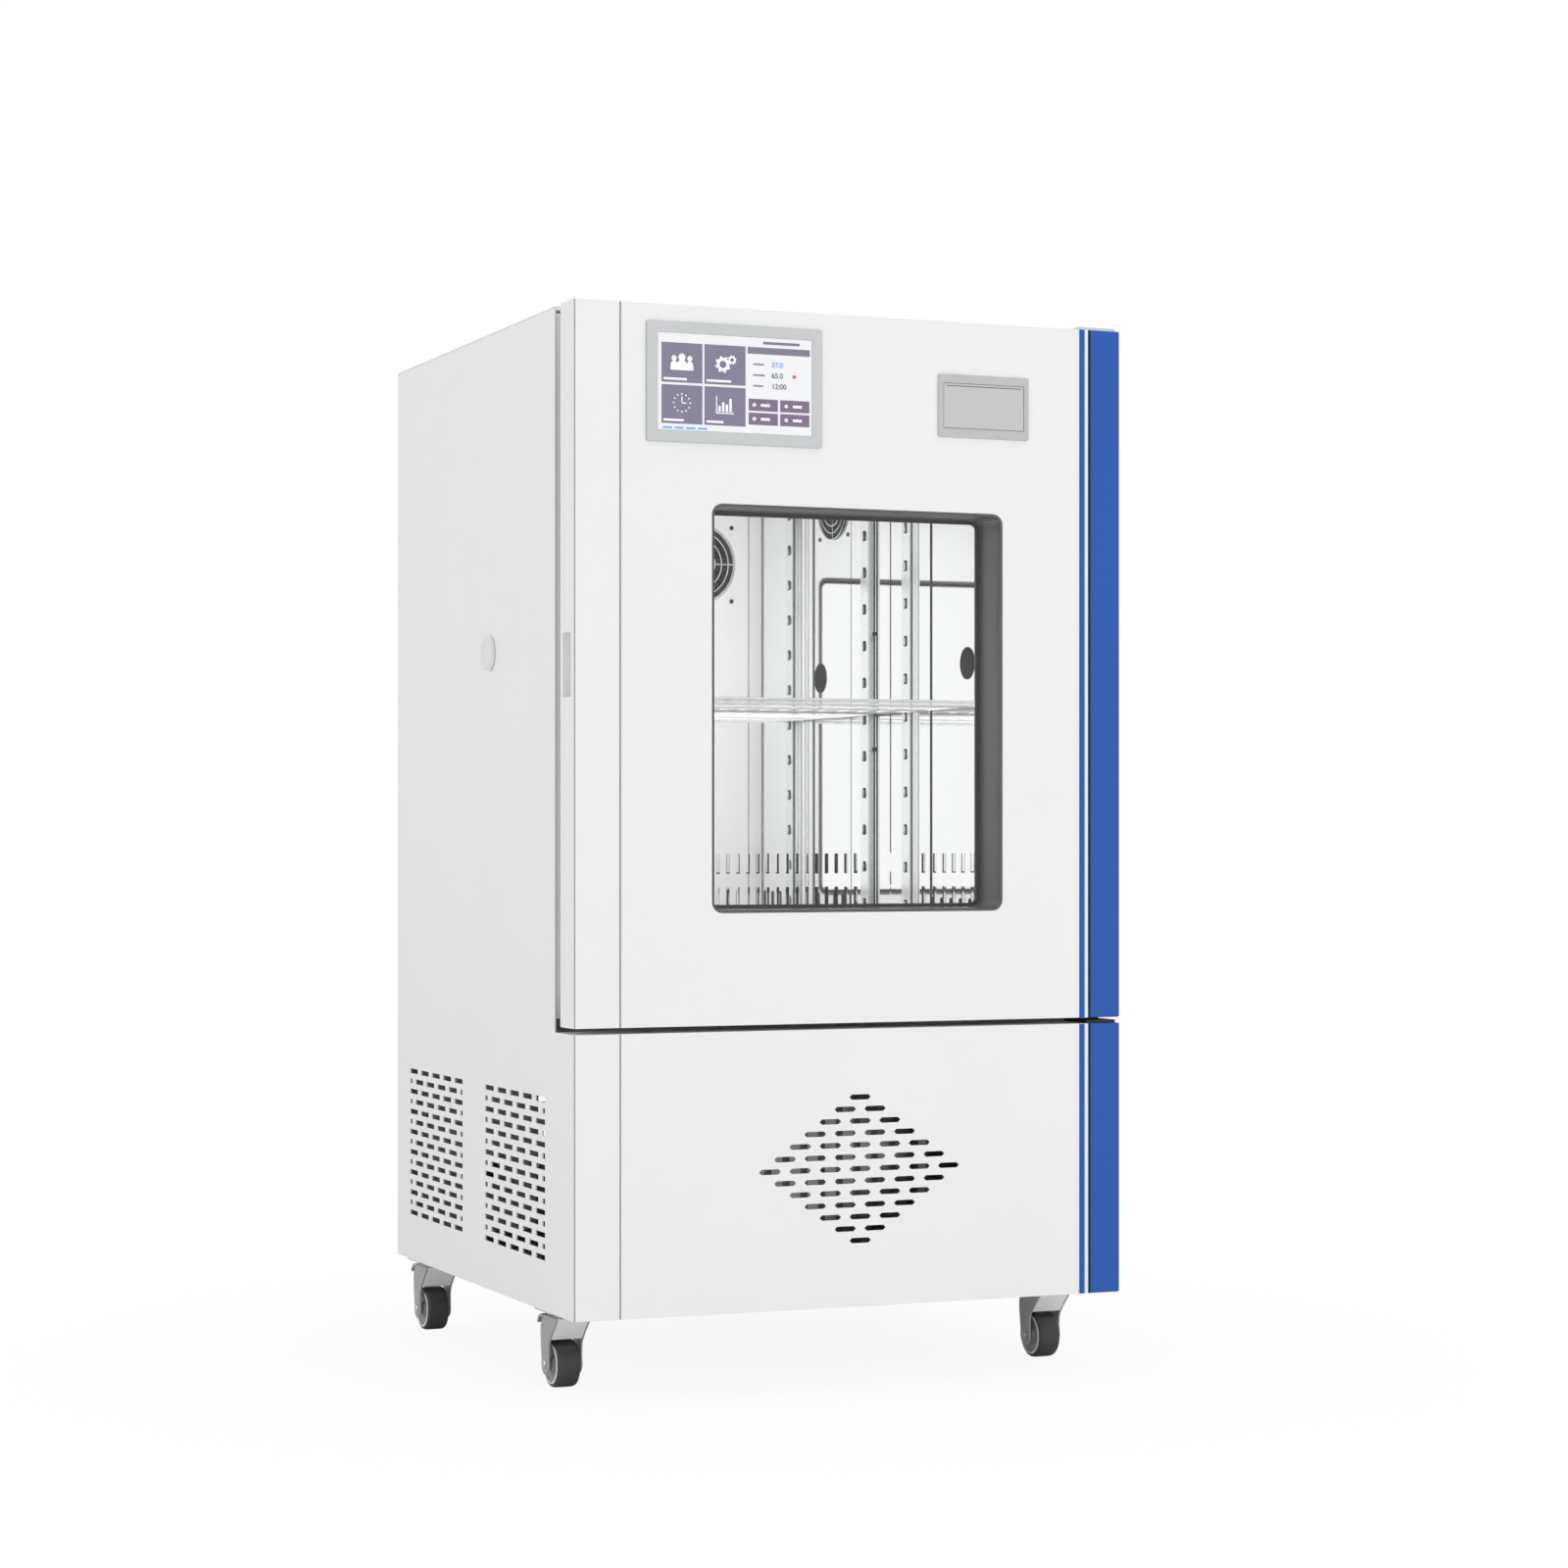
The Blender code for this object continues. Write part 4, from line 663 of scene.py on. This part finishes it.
def icon_users(x, z, s):
    """Three heads on shoulders."""
    shapes = []
    for dx, k in ((-0.34, 0.72), (0.34, 0.72), (0.0, 1.0)):
        middle = x + dx * s
        half = 0.22 * s * k
        shapes.append(arc((middle, z + 0.16 * s * k), 0.15 * s * k, 0, 345, 18))
        shapes.append(
            [(middle - half, z - 0.36 * s), (middle + half, z - 0.36 * s)]
            + arc((middle, z - 0.14 * s), 0.20 * s * k, 0, 180, 10)
        )
    return shapes


def gear(x, z, radius, teeth):
    """A ring of teeth, each with its stretch of the band inside."""
    shapes = []
    width = 360.0 / teeth
    for k in range(teeth):
        start = 360.0 * k / teeth
        outer = arc((x, z), radius, start + width * 0.15, start + width * 0.55, 2)
        inner = arc((x, z), radius * 0.55, start + width * 0.55, start + width * 0.15, 2)
        shapes.append(outer + inner)
        band_outer = arc((x, z), radius * 0.80, start, start + width, 3)
        band_inner = arc((x, z), radius * 0.45, start + width, start, 3)
        shapes.append(band_outer + band_inner)
    return shapes


def icon_gears(x, z, s):
    """A large gear with a smaller one behind its shoulder."""
    return gear(x - 0.08 * s, z - 0.04 * s, 0.34 * s, 8) + gear(x + 0.32 * s, z + 0.16 * s, 0.19 * s, 8)


def icon_clock(x, z, s):
    """Twelve dots and two hands."""
    dots = [arc((x + across, z + up), 0.035 * s, 0, 300, 6) for across, up in circle(0.36 * s, 12)]
    long_hand = rectangle(x - 0.02 * s, z, x + 0.02 * s, z + 0.26 * s)
    short_hand = rectangle(x, z - 0.02 * s, x + 0.2 * s, z + 0.02 * s)
    return dots + [long_hand, short_hand]


def icon_chart(x, z, s):
    """Four bars on two axes."""
    bars = []
    for k, top in enumerate((-0.05, 0.10, 0.02, 0.26)):
        step = 0.16 * k
        bars.append(rectangle(x + (step - 0.28) * s, z - 0.28 * s, x + (step - 0.18) * s, z + top * s))
    upright = rectangle(x - 0.38 * s, z - 0.36 * s, x - 0.34 * s, z + 0.36 * s)
    level = rectangle(x - 0.34 * s, z - 0.36 * s, x + 0.40 * s, z - 0.32 * s)
    return bars + [upright, level]


def number(name, text, left, low, y, paint):
    """Plain numbers on the display, as a filled text turned into a mesh."""
    curve = bpy.data.curves.new(name, "FONT")
    curve.body = text
    curve.size = READING_TALL
    curve.extrude = 0.00005
    curve.offset = 0.00025
    mesh = mesh_of(curve)
    mesh.materials.clear()
    mesh.materials.append(paint)
    made = put(name, mesh)
    made.matrix_world = Matrix.Translation((left, y, low)) @ Matrix.Rotation(math.pi / 2, 4, "X")
    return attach(made, "door")


def display():
    """A generic menu page: four large tiles with pictograms, a list of readings and four small keys."""
    y = SCREEN_LOW.y
    lift = PAGE_LIFT
    wide, high = SCREEN_HIGH.x - SCREEN_LOW.x, SCREEN_HIGH.z - SCREEN_LOW.z

    def at(u, v):
        """A point of the page, from its shares of the width and height."""
        return SCREEN_LOW.x + u * wide, SCREEN_LOW.z + v * high

    def area(u0, v0, u1, v1, radius=0.0006):
        """A rounded rectangle on the page."""
        (x0, z0), (x1, z1) = at(u0, v0), at(u1, v1)
        return rounded(x0, z0, x1, z1, radius, 3)

    def lay(name, outlines, paint, back=1.0, front=2.0):
        """Lays outlines on the page, with their back and front counted in lifts off the screen."""
        plates(name, outlines, y - back * lift, y - front * lift, paint, "door")

    tiles = [area(u0, v0, u1, v1) for v0, v1 in TILE_ROWS for u0, u1 in TILE_COLUMNS]
    lay("display_tiles", tiles, TILE)
    pictures = []
    for picture, (u, v) in zip((icon_users, icon_gears, icon_clock, icon_chart), PICTURE_MIDDLES):
        pictures += picture(*at(u, v), PICTURE_SIZE * wide)
    captions = [area(u, v, u + length, v + CAPTION_TALL, 0.0002) for u, v, length in CAPTIONS]
    key_marks = []
    for low in KEY_MARK_LOWS:
        for left in KEY_MARK_LEFTS:
            key_marks.append(arc(at(left + 0.012, low + 0.022), KEY_DOT, 0, 340, 14))
            key_marks.append(area(left + 0.055, low + 0.008, left + 0.115, low + 0.034, 0.0002))
    lay("display_icons", pictures + captions + key_marks, ICON, 2.1, 3.0)
    keys = [area(u0, v0, u1, v1) for v0, v1 in KEY_ROWS for u0, u1 in KEY_COLUMNS]
    lay("display_keys", keys, PURPLE)
    lay("display_bar", [area(*BAR, 0.0003)], TILE)
    start, tall = READING_CAPTION_LEFT, READING_CAPTION_TALL
    lines = [area(start, v, start + length, v + tall, 0.0001) for v, length in READING_CAPTIONS]
    lines.append(area(*TOP_LINE, 0.0002))
    lay("display_lines", lines, INK)
    steps = [FOOT_STEP * k for k in range(FOOT_BARS)]
    foot = [area(0.03 + step, 0.012, 0.09 + step, 0.032, 0.0001) for step in steps]
    lay("display_foot", foot, LINK)
    lay("display_dot", [arc(at(*DOT_MIDDLE), RED_DOT, 0, 340, 16)], RED)
    for k, (text, v) in enumerate(READINGS):
        x, z = at(READING_LEFT, v)
        number("display_number_" + str(k), text, x, z, y - 2 * lift, LINK if k == 0 else INK)


def printer():
    """The paper slot and the finger lip of the printer's cover."""
    y = COVER_LOW.y
    left, right = COVER_LOW.x, COVER_HIGH.x
    top, foot = COVER_HIGH.z, COVER_LOW.z
    slot = rectangle(left + PAPER_INSET, top - PAPER_LOW, right - PAPER_INSET, top - PAPER_HIGH)
    # The paper slot is a dark strip of painted shade
    plates("printer_slot", [slot], y + SMALL, y - 0.00008, LINE_SHADE, "printer_cover")
    lip = rounded(left + LIP_INSET, foot + LIP_LOW, right - LIP_INSET, foot + LIP_HIGH, 0.0008)
    plates("printer_lip", [lip], y + SMALL, y - 0.0004, COVER, "printer_cover")


def pane_seal():
    """The black seal that holds the inner pane in its frame."""
    low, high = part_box("inner_glass")
    left, bottom, right, top = low.x + HAIR, low.z + HAIR, high.x - HAIR, high.z - HAIR
    outside = rounded(left, bottom, right, top, 0.0125, 6)
    inside = rounded(left + SEAL_WIDE, bottom + SEAL_WIDE, right - SEAL_WIDE, top - SEAL_WIDE, 0.009, 6)
    geometry = bmesh.new()
    frame_plate(geometry, outside, inside, low.y - 0.0004, low.y - 0.0040)
    new_piece("inner_pane_seal", geometry, BLACK, "door")


# Chamber


def fan_guard():
    """The fan's guard of round wire, its badge and its screws."""
    low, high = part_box("fan_guard")
    middle = (low + high) / 2
    reach = (high.x - low.x) / 2 - GUARD_INSET
    y = DUCT_FACE - GUARD_WIRE - SMALL

    def place(across, back, up):
        """A point of the guard."""
        return middle.x + across, y + back, middle.z + up

    radii = [reach * share for share in GUARD_RINGS]
    guard = grille("fan_guard_wire", "fan_guard_spokes", place, radii, 0.012, GUARD_WIRE, GUARD_WIRE * 1.2)
    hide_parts("fan_guard")
    badge = arc((middle.x, middle.z), GUARD_BADGE, 0, 350, 35)
    plates("fan_guard_badge", [badge], y + GUARD_WIRE * 0.5, y - GUARD_WIRE, FAN_BLACK, "cabinet")
    screws = [(middle.x + across, DUCT_FACE, middle.z + up) for across, up in four_corners(reach * 0.92)]
    screw_heads("fan_screws", screws, "Y", -1, FAN_SCREW, BLACK, "cabinet")


def rails():
    """The hooks of the shelf rails, and a patch of painted shade on the wall behind each."""
    for side, sign in SIDES:
        for end in ("front", "rear"):
            label = end + "_" + side
            low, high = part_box("shelf_rail_" + label)
            face = low.x if sign > 0 else high.x
            x0, x1 = sorted((face - sign * HOOK_PROUD, face + sign * HOOK_ROOT))
            across = (low.y + high.y) / 2
            hooks = bmesh.new()
            patches = []
            for k in range(HOOKS):
                z = low.z + HOOK_FIRST + HOOK_STEP * k
                z0, z1 = [z + level for level in HOOK_ENDS]
                bevelled_box(hooks, (x0, across - HOOK_HALF, z0), (x1, across + HOOK_HALF, z1), 0.0005)
                z0, z1 = [z + level for level in PATCH_ENDS]
                patches.append(rectangle(across - PATCH_HALF, z0, across + PATCH_HALF, z1))
            new_piece("rail_hooks_" + label, hooks, STAINLESS, "cabinet")
            wall_patch("rail_shadows_" + label, patches, sign, 0.0006, HOLE_SHADE)


def shelf():
    """The thin shelf: a wire round its edge, bars from front to back and two stays across."""
    z = (SHELF_LOW.z + SHELF_HIGH.z) / 2
    inset = SHELF_EDGE + SMALL
    x0, x1 = SHELF_LOW.x + inset, SHELF_HIGH.x - inset
    y0, y1 = SHELF_LOW.y + inset, SHELF_HIGH.y - inset
    edge = [(x, y, z) for x, y in rounded(x0, y0, x1, y1, 0.012, 6)]
    edge_wire = tube("shelf_frame", [edge], SHELF_EDGE, SHELF_WIRE, "cabinet", cyclic=True)
    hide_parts("wire_shelf")
    bar_places = [x0 + (x1 - x0) * k / SHELF_SPACES for k in range(1, SHELF_SPACES)]
    bars = [[(x, y0, z + 0.0002), (x, y1, z + 0.0002)] for x in bar_places]
    tube("shelf_bars", bars, SHELF_BAR, SHELF_WIRE, "cabinet")
    stay_places = [y0 + (y1 - y0) * share for share in SHELF_STAY_PLACES]
    stays = [[(x0, y, z - 0.0012), (x1, y, z - 0.0012)] for y in stay_places]
    tube("shelf_stays", stays, SHELF_STAY, SHELF_WIRE, "cabinet")


def side_fan():
    """A round fan behind a wire grille, set into the right wall near the top."""
    y, z = FRONT + SIDE_FAN_DEPTH, CHAMBER_LOW + SIDE_FAN_LEVEL
    # The fan is a dark disc on the wall: the black fan, with the painted shade of its opening
    wall_patch("side_fan_right", [arc((y, z), GRILLE_RINGS[-1], 0, 354, 59)], 1, 0.0008, HOLE_SHADE)
    x = LINER_HALF - GRILLE_OFF_WALL

    def place(across, back, up):
        """A point of the grille."""
        return x + back, y + across, z + up

    grille("side_grille_right", "side_spokes_right", place, GRILLE_RINGS, 0.0, GRILLE_WIRE, 0.0008)
    screws = [(LINER_HALF - 0.0004, y + across, z + up) for across, up in four_corners(SIDE_FAN_SCREWS)]
    screw_heads("side_fan_screws_right", screws, "X", -1, SIDE_FAN_SCREW, BLACK, "cabinet")


def wall_details():
    """Port mouths, and on the right wall the slot rows, seam strips and fan; the duct panel's edges. The port
    mouths, slots, wall lines and duct edges are dark patches of painted shade.
    """
    floor, top = CHAMBER_LOW + 0.002, LINER_HIGH.z - 0.003
    port_low, port_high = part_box("port_plug_right")
    port = ((port_low.y + port_high.y) / 2, (port_low.z + port_high.z) / 2)
    for side, sign in SIDES:
        # Each port mouth is a dark disc of painted shade round where the plug sits
        wall_patch("port_mouth_" + side, [arc(port, PORT_RADIUS, 0, 350, 35)], sign, 0.0006, HOLE_SHADE)
    slots = []
    half_wide, half_tall = WALL_SLOT_WIDE / 2, WALL_SLOT_TALL / 2
    for level in WALL_SLOT_ROWS:
        z = LINER_LOW.z + level
        for k in range(WALL_SLOTS):
            depth = WALL_SLOT_START + WALL_SLOT_STEP * k
            if min(abs(depth - rail) for rail in RAIL_DEPTHS) > WALL_SLOT_CLEAR:
                y = FRONT + depth
                slots.append(rounded(y - half_wide, z - half_tall, y + half_wide, z + half_tall, 0.0035, 3))
    # The slots are dark patches of painted shade
    wall_patch("wall_slots", slots, 1, 0.0005, HOLE_SHADE)
    strips = [rectangle(FRONT + start, floor, FRONT + end, top) for start, end in STRIP_DEPTHS]
    wall_patch("wall_strips", strips, 1, 0.0012, LINER_STEEL)
    line_places = [FRONT + depth for depth in WALL_LINE_DEPTHS]
    lines = [rectangle(y, floor, y + WALL_LINE_WIDE, top) for y in line_places]
    # Lines of painted shade along the strips' edges and in the channel
    wall_patch("wall_lines", lines, 1, 0.0015, LINE_SHADE)
    side_fan()
    gaps = [rectangle(LEFT + across, floor, LEFT + across + DUCT_LINE_WIDE, top) for across in DUCT_LINES]
    for across in DUCT_CLIPS:
        for level in DUCT_CLIP_LEVELS:
            x, z = LEFT + across, CHAMBER_LOW + level
            gaps.append(rectangle(x - 0.002, z, x + 0.006, z + 0.006))
    # Lines of painted shade in the gaps at the duct panel's edges, and painted shade at its clips
    plates("duct_edges", gaps, DUCT_FACE - SMALL / 2, DUCT_FACE - SMALL * 2, HOLE_SHADE, "cabinet")


def port_plugs():
    """Silicone plugs: a domed flange with a shallow dish and a stem, in the hole in each side."""
    for side, sign in SIDES:
        low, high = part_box("port_plug_" + side)
        outer, inner = (low.x, high.x) if sign < 0 else (high.x, low.x)
        radius = (high.z - low.z) / 2 - SMALL
        long = abs(outer - inner)
        profile = [
            (0.0, 0.0035), (radius * 0.55, 0.0035), (radius * 0.60, 0.0030), (radius * 0.66, 0.0006),
            (radius * 0.72, 0.0001), (radius * 0.90, 0.0005), (radius * 0.98, 0.0024), (radius, 0.0045),
            (radius, PLUG_PROUD - 0.001), (radius - 0.001, PLUG_PROUD), (PLUG_STEM, PLUG_PROUD),
            (PLUG_STEM, long - 0.002), (PLUG_TIP, long), (0.0, long),
        ]
        start = Vector((outer, (low.y + high.y) / 2, (low.z + high.z) / 2))
        inward = [(r, -sign * along) for r, along in profile]
        plug = turned("plug_" + side, inward, start, "X", PLUG, "port_plug_" + side)
        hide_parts("port_plug_" + side)


# Casters


def caster(place):
    """A caster's wheel, a dark tread on a pale rim, and the fork and pedal round it."""
    tyre_low, tyre_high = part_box("caster_tyre_" + place)
    wheel = (tyre_low + tyre_high) / 2
    radius = (tyre_high.z - tyre_low.z) / 2
    half = TREAD_WIDE / 2
    body = "caster_wheel_" + place
    shoulder = spline_points([
        (RIM_RADIUS + 0.0008, half), (radius - 0.0022, half - 0.0004), (radius - 0.0006, half - 0.0025),
        (radius, half - 0.0070), (radius, 0.0),
    ], 4)
    tyre = [(RIM_RADIUS, -half + 0.0005), (RIM_RADIUS, half - 0.0005)]
    tyre += shoulder + other_side(shoulder[:-1])
    made = turned("tyre_" + place, tyre, wheel, "X", TYRE, body, WHEEL_SIDES)
    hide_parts("caster_tyre_" + place)
    face = [
        (0.0046, half + 0.0008), (0.0085, half + 0.0008), (0.0095, half - 0.0002),
        (0.0105, half - 0.0030), (0.0210, half - 0.0034), (0.0228, half - 0.0022),
        (0.0238, half + 0.0002), (RIM_RING - 0.0001, half + 0.0002),
    ]
    made = turned("hub_" + place, face + other_side(face), wheel, "X", WHEEL_SIDE, body, WHEEL_SIDES)
    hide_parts("caster_hub_" + place)
    edge = [
        (RIM_RING, half + 0.0006), (RIM_RADIUS - 0.0008, half + 0.0006), (RIM_RADIUS - 0.0001, half - 0.0002),
    ]
    turned("rim_" + place, edge + other_side(edge), wheel, "X", RIM, body, WHEEL_SIDES)
    fork(place, wheel)
    pedal(place, wheel)


def fork(place, wheel):
    """Pressed fork: two legs with round ends, a crown, the web in front of the tyre and the axle bolt."""
    body = "caster_fork_" + place
    swivel = wheel.y - TRAIL
    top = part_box("caster_fork_" + place)[1].z
    front = spline_points([
        (-0.0280, top), (-0.0225, 0.0890), (-0.0070, 0.0740), (0.0045, 0.0600), (0.0070, 0.0440),
    ], 5)
    round_end = arc((TRAIL, AXLE_HIGH), LEG_END, 162, 376, 20)
    back = spline_points([
        (0.0355, 0.0480), (0.0378, 0.0640), (0.0380, 0.0780), (0.0335, 0.0890), (0.0230, top),
    ], 5)
    outline = [(swivel + y, z) for y, z in front + round_end + back]
    legs = bmesh.new()
    for sign in (-1, 1):
        x0, x1 = sorted((wheel.x + sign * FORK_HALF, wheel.x + sign * (FORK_HALF - FORK_SHEET)))
        side_plate(legs, outline, x0, x1)
    # The legs are zinc darkened with painted shade
    made = new_piece("fork_" + place, legs, FORK_SHADE, body, 35)
    soften(made, 0.0006, 40)
    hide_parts("caster_fork_" + place)
    inside = FORK_HALF - FORK_SHEET
    shield = [(y, z) for y, z in front if z > WEB_LOW]
    web = shield + [(y + WEB_SHEET, z) for y, z in reversed(shield)]
    crown = [(-0.0250, top), (-0.0240, top - 0.0032), (0.0255, top - 0.0032), (0.0225, top)]
    pressed = bmesh.new()
    for points in (web, crown):
        side_plate(pressed, [(swivel + y, z) for y, z in points], wheel.x - inside, wheel.x + inside)
    # The web and crown are the same zinc lightened with painted light
    made = new_piece("fork_web_" + place, pressed, FORK_LIGHT, body, 35)
    soften(made, 0.0005, 40)
    end = FORK_HALF
    bolt = [
        (0.0, -end - 0.0022), (0.0052, -end - 0.0022), (0.0060, -end - 0.0014), (0.0060, -end - 0.0001),
        (0.0039, -end), (0.0039, end), (0.0060, end + 0.0001), (0.0060, end + 0.0017),
        (0.0035, end + 0.0022), (0.0, end + 0.0022),
    ]
    turned("axle_" + place, bolt, wheel, "X", ZINC, body, 32)


def pedal(place, wheel):
    """The brake pedal: a curved tongue behind the fork, on its pin between the legs."""
    body = "brake_pedal_" + place
    swivel = wheel.y - TRAIL
    upper = spline_points([
        (0.0085, 0.0842), (0.0240, 0.0860), (0.0340, 0.0912), (0.0440, 0.0948), (0.0540, 0.0936),
        (0.0615, 0.0890), (0.0655, 0.0820),
    ], 4)
    under = spline_points([
        (0.0630, 0.0810), (0.0588, 0.0866), (0.0525, 0.0896), (0.0440, 0.0908), (0.0360, 0.0876),
        (0.0260, 0.0815), (0.0085, 0.0798),
    ], 4)
    outline = [(swivel + y, z) for y, z in upper + under]
    tongue = bmesh.new()
    side_plate(tongue, outline, wheel.x - TONGUE_HALF, wheel.x + TONGUE_HALF)
    # The pedal is zinc darkened with painted shade
    made = new_piece("pedal_" + place, tongue, FORK_SHADE, body, 35)
    soften(made, 0.0008, 50)
    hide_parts("brake_pedal_" + place)
    half = FORK_HALF - FORK_SHEET - SMALL
    pivot = Vector((wheel.x, swivel + PEDAL_PIN_BACK, PEDAL_PIN_HIGH))
    pin = [(0.0, -half), (0.0024, -half), (0.0024, half), (0.0, half)]
    turned("pedal_pin_" + place, pin, pivot, "X", ZINC, body, 24)


# Screws


def plate_bolts():
    """Four bolt heads under each caster's plate."""
    for corner in CORNERS:
        low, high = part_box("caster_plate_" + corner)
        xs = (low.x + PLATE_BOLT_FROM_EDGE, high.x - PLATE_BOLT_FROM_EDGE)
        ys = (low.y + PLATE_BOLT_FROM_EDGE, high.y - PLATE_BOLT_FROM_EDGE)
        heads = [(x, y, high.z - PLATE_THICK) for x in xs for y in ys]
        screw_heads("plate_bolts_" + corner, heads, "Z", -1, PLATE_BOLT, ZINC, "cabinet")


def panel_screws():
    """Screws where the sheets are fixed: roof hinge plate and back panel."""
    low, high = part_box("upper_hinge_bracket")
    xs = (low.x + SCREW_FROM_SIDE, high.x - SCREW_FROM_SIDE)
    heads = [(x, high.y - back, high.z) for x in xs for back in HINGE_SCREWS_FROM_BACK]
    screw_heads("roof_hinge_screws", heads, "Z", 1, HINGE_SCREW, ZINC, "cabinet")
    low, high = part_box("back_panel")
    xs = (low.x + SCREW_FROM_SIDE, high.x - SCREW_FROM_SIDE)
    start, span = low.z + BACK_SCREW_FROM_END, high.z - low.z - 2 * BACK_SCREW_FROM_END
    rows = [start + span * k / (BACK_SCREW_ROWS - 1) for k in range(BACK_SCREW_ROWS)]
    heads = [(x, high.y, z) for x in xs for z in rows]
    screw_heads("back_screws", heads, "Y", 1, BACK_SCREW, ZINC, "cabinet")


# Stage, light and camera


def stage():
    """A pale floor that takes the object's shadow and fades to the white page."""
    geometry = bmesh.new()
    bmesh.ops.create_circle(geometry, cap_ends=True, segments=96, radius=FLOOR_RADIUS)
    mesh = bpy.data.meshes.new("floor")
    geometry.to_mesh(mesh)
    geometry.free()
    paint = bpy.data.materials.new("pale_floor")
    paint.use_nodes = True
    nodes, links = paint.node_tree.nodes, paint.node_tree.links
    shader = nodes["Principled BSDF"]
    shader.inputs["Base Color"].default_value = (0.92, 0.92, 0.92, 1)
    shader.inputs["Roughness"].default_value = 0.9
    white = nodes.new("ShaderNodeEmission")
    white.inputs["Strength"].default_value = 1.0
    place = nodes.new("ShaderNodeTexCoord")
    reach = nodes.new("ShaderNodeVectorMath")
    reach.operation = "LENGTH"
    fade = nodes.new("ShaderNodeMapRange")
    fade.interpolation_type = "SMOOTHSTEP"
    fade.inputs["From Min"].default_value = FADE_START
    fade.inputs["From Max"].default_value = FADE_END
    fade.inputs["To Min"].default_value = FLOOR_KEEP
    rays = nodes.new("ShaderNodeLightPath")
    seen = nodes.new("ShaderNodeMath")
    seen.operation = "MULTIPLY"
    mix = nodes.new("ShaderNodeMixShader")
    links.new(place.outputs["Object"], reach.inputs[0])
    links.new(reach.outputs["Value"], fade.inputs["Value"])
    links.new(fade.outputs["Result"], seen.inputs[0])
    links.new(rays.outputs["Is Camera Ray"], seen.inputs[1])
    links.new(seen.outputs["Value"], mix.inputs["Fac"])
    links.new(shader.outputs["BSDF"], mix.inputs[1])
    links.new(white.outputs["Emission"], mix.inputs[2])
    links.new(mix.outputs["Shader"], nodes["Material Output"].inputs["Surface"])
    mesh.materials.append(paint)
    put("floor", mesh)


def world():
    """An even fill light that the camera, metal and glass see as white."""
    made = bpy.data.worlds.new("studio")
    bpy.context.scene.world = made
    made.use_nodes = True
    nodes, links = made.node_tree.nodes, made.node_tree.links
    fill = nodes["Background"]
    fill.inputs["Color"].default_value = (1, 1, 1, 1)
    fill.inputs["Strength"].default_value = WORLD_LIGHT
    white = nodes.new("ShaderNodeBackground")
    white.inputs["Color"].default_value = (1, 1, 1, 1)
    rays = nodes.new("ShaderNodeLightPath")
    mix = nodes.new("ShaderNodeMixShader")
    seen = rays.outputs["Is Camera Ray"]
    for ray in ("Is Glossy Ray", "Is Transmission Ray"):
        either = nodes.new("ShaderNodeMath")
        either.operation = "MAXIMUM"
        links.new(seen, either.inputs[0])
        links.new(rays.outputs[ray], either.inputs[1])
        seen = either.outputs["Value"]
    links.new(seen, mix.inputs["Fac"])
    links.new(fill.outputs["Background"], mix.inputs[1])
    links.new(white.outputs["Background"], mix.inputs[2])
    links.new(mix.outputs["Shader"], nodes["World Output"].inputs["Surface"])


def area_light(name, place, target, size, power):
    """A rectangular lamp that points at its target."""
    lamp = bpy.data.lights.new(name, "AREA")
    lamp.shape = "RECTANGLE"
    lamp.size, lamp.size_y = size
    lamp.energy = power
    made = put(name, lamp)
    made.location = place
    made.rotation_euler = (Vector(target) - Vector(place)).to_track_quat("-Z", "Y").to_euler()
    return made


def lights():
    """Soft boxes round the object, and two lamps in the chamber, hidden from camera and reflections."""
    for name, place, target, size, power, mirrored in SOFT_BOXES:
        area_light(name, place, target, (size, size), power).visible_glossy = mirrored
    middle = (CHAMBER_LOW + LINER_HIGH.z) / 2
    wide, tall = 2 * LINER_HALF, LINER_HIGH.z - CHAMBER_LOW
    door_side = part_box("door_liner")[1].y + 0.004
    for name, y, towards, margin, power in (
        ("chamber_lamp", door_side, LINER_HIGH.y, 0.02, CHAMBER_POWER),
        ("door_face_lamp", DUCT_FACE - 0.05, LINER_LOW.y, 0.06, DOOR_FACE_POWER),
    ):
        size = (wide - margin, tall - margin)
        lamp = area_light(name, (0.0, y, middle), (0.0, towards, middle), size, power)
        lamp.visible_camera = False
        lamp.visible_glossy = False


def camera():
    """A level camera at the photograph's place and angle."""
    lens = bpy.data.cameras.new("camera")
    lens.sensor_width = SENSOR
    lens.lens = SENSOR * FOCAL_PIXELS / FRAME_PIXELS
    lens.shift_y = (HORIZON_PIXEL - FRAME_PIXELS / 2) / FRAME_PIXELS
    made = put("camera", lens)
    right = Vector((math.cos(CAMERA_YAW), -math.sin(CAMERA_YAW), 0.0))
    ahead = Vector((math.sin(CAMERA_YAW), math.cos(CAMERA_YAW), 0.0))
    corner = Vector((LEFT, FRONT, 0.0))
    height = Vector((0.0, 0.0, CAMERA_HEIGHT))
    made.location = corner - CAMERA_RIGHT * right - CAMERA_AHEAD * ahead + height
    made.rotation_euler = (math.pi / 2, 0.0, -CAMERA_YAW)
    bpy.context.scene.camera = made


dress_nodes()
stripes()
display()
printer()
fan_guard()
rails()
shelf()
wall_details()
pane_seal()
port_plugs()
for caster_corner in CORNERS:
    caster(caster_corner)
plate_bolts()
panel_screws()
stage()
world()
lights()
camera()
bpy.context.scene.view_settings.view_transform = "Standard"
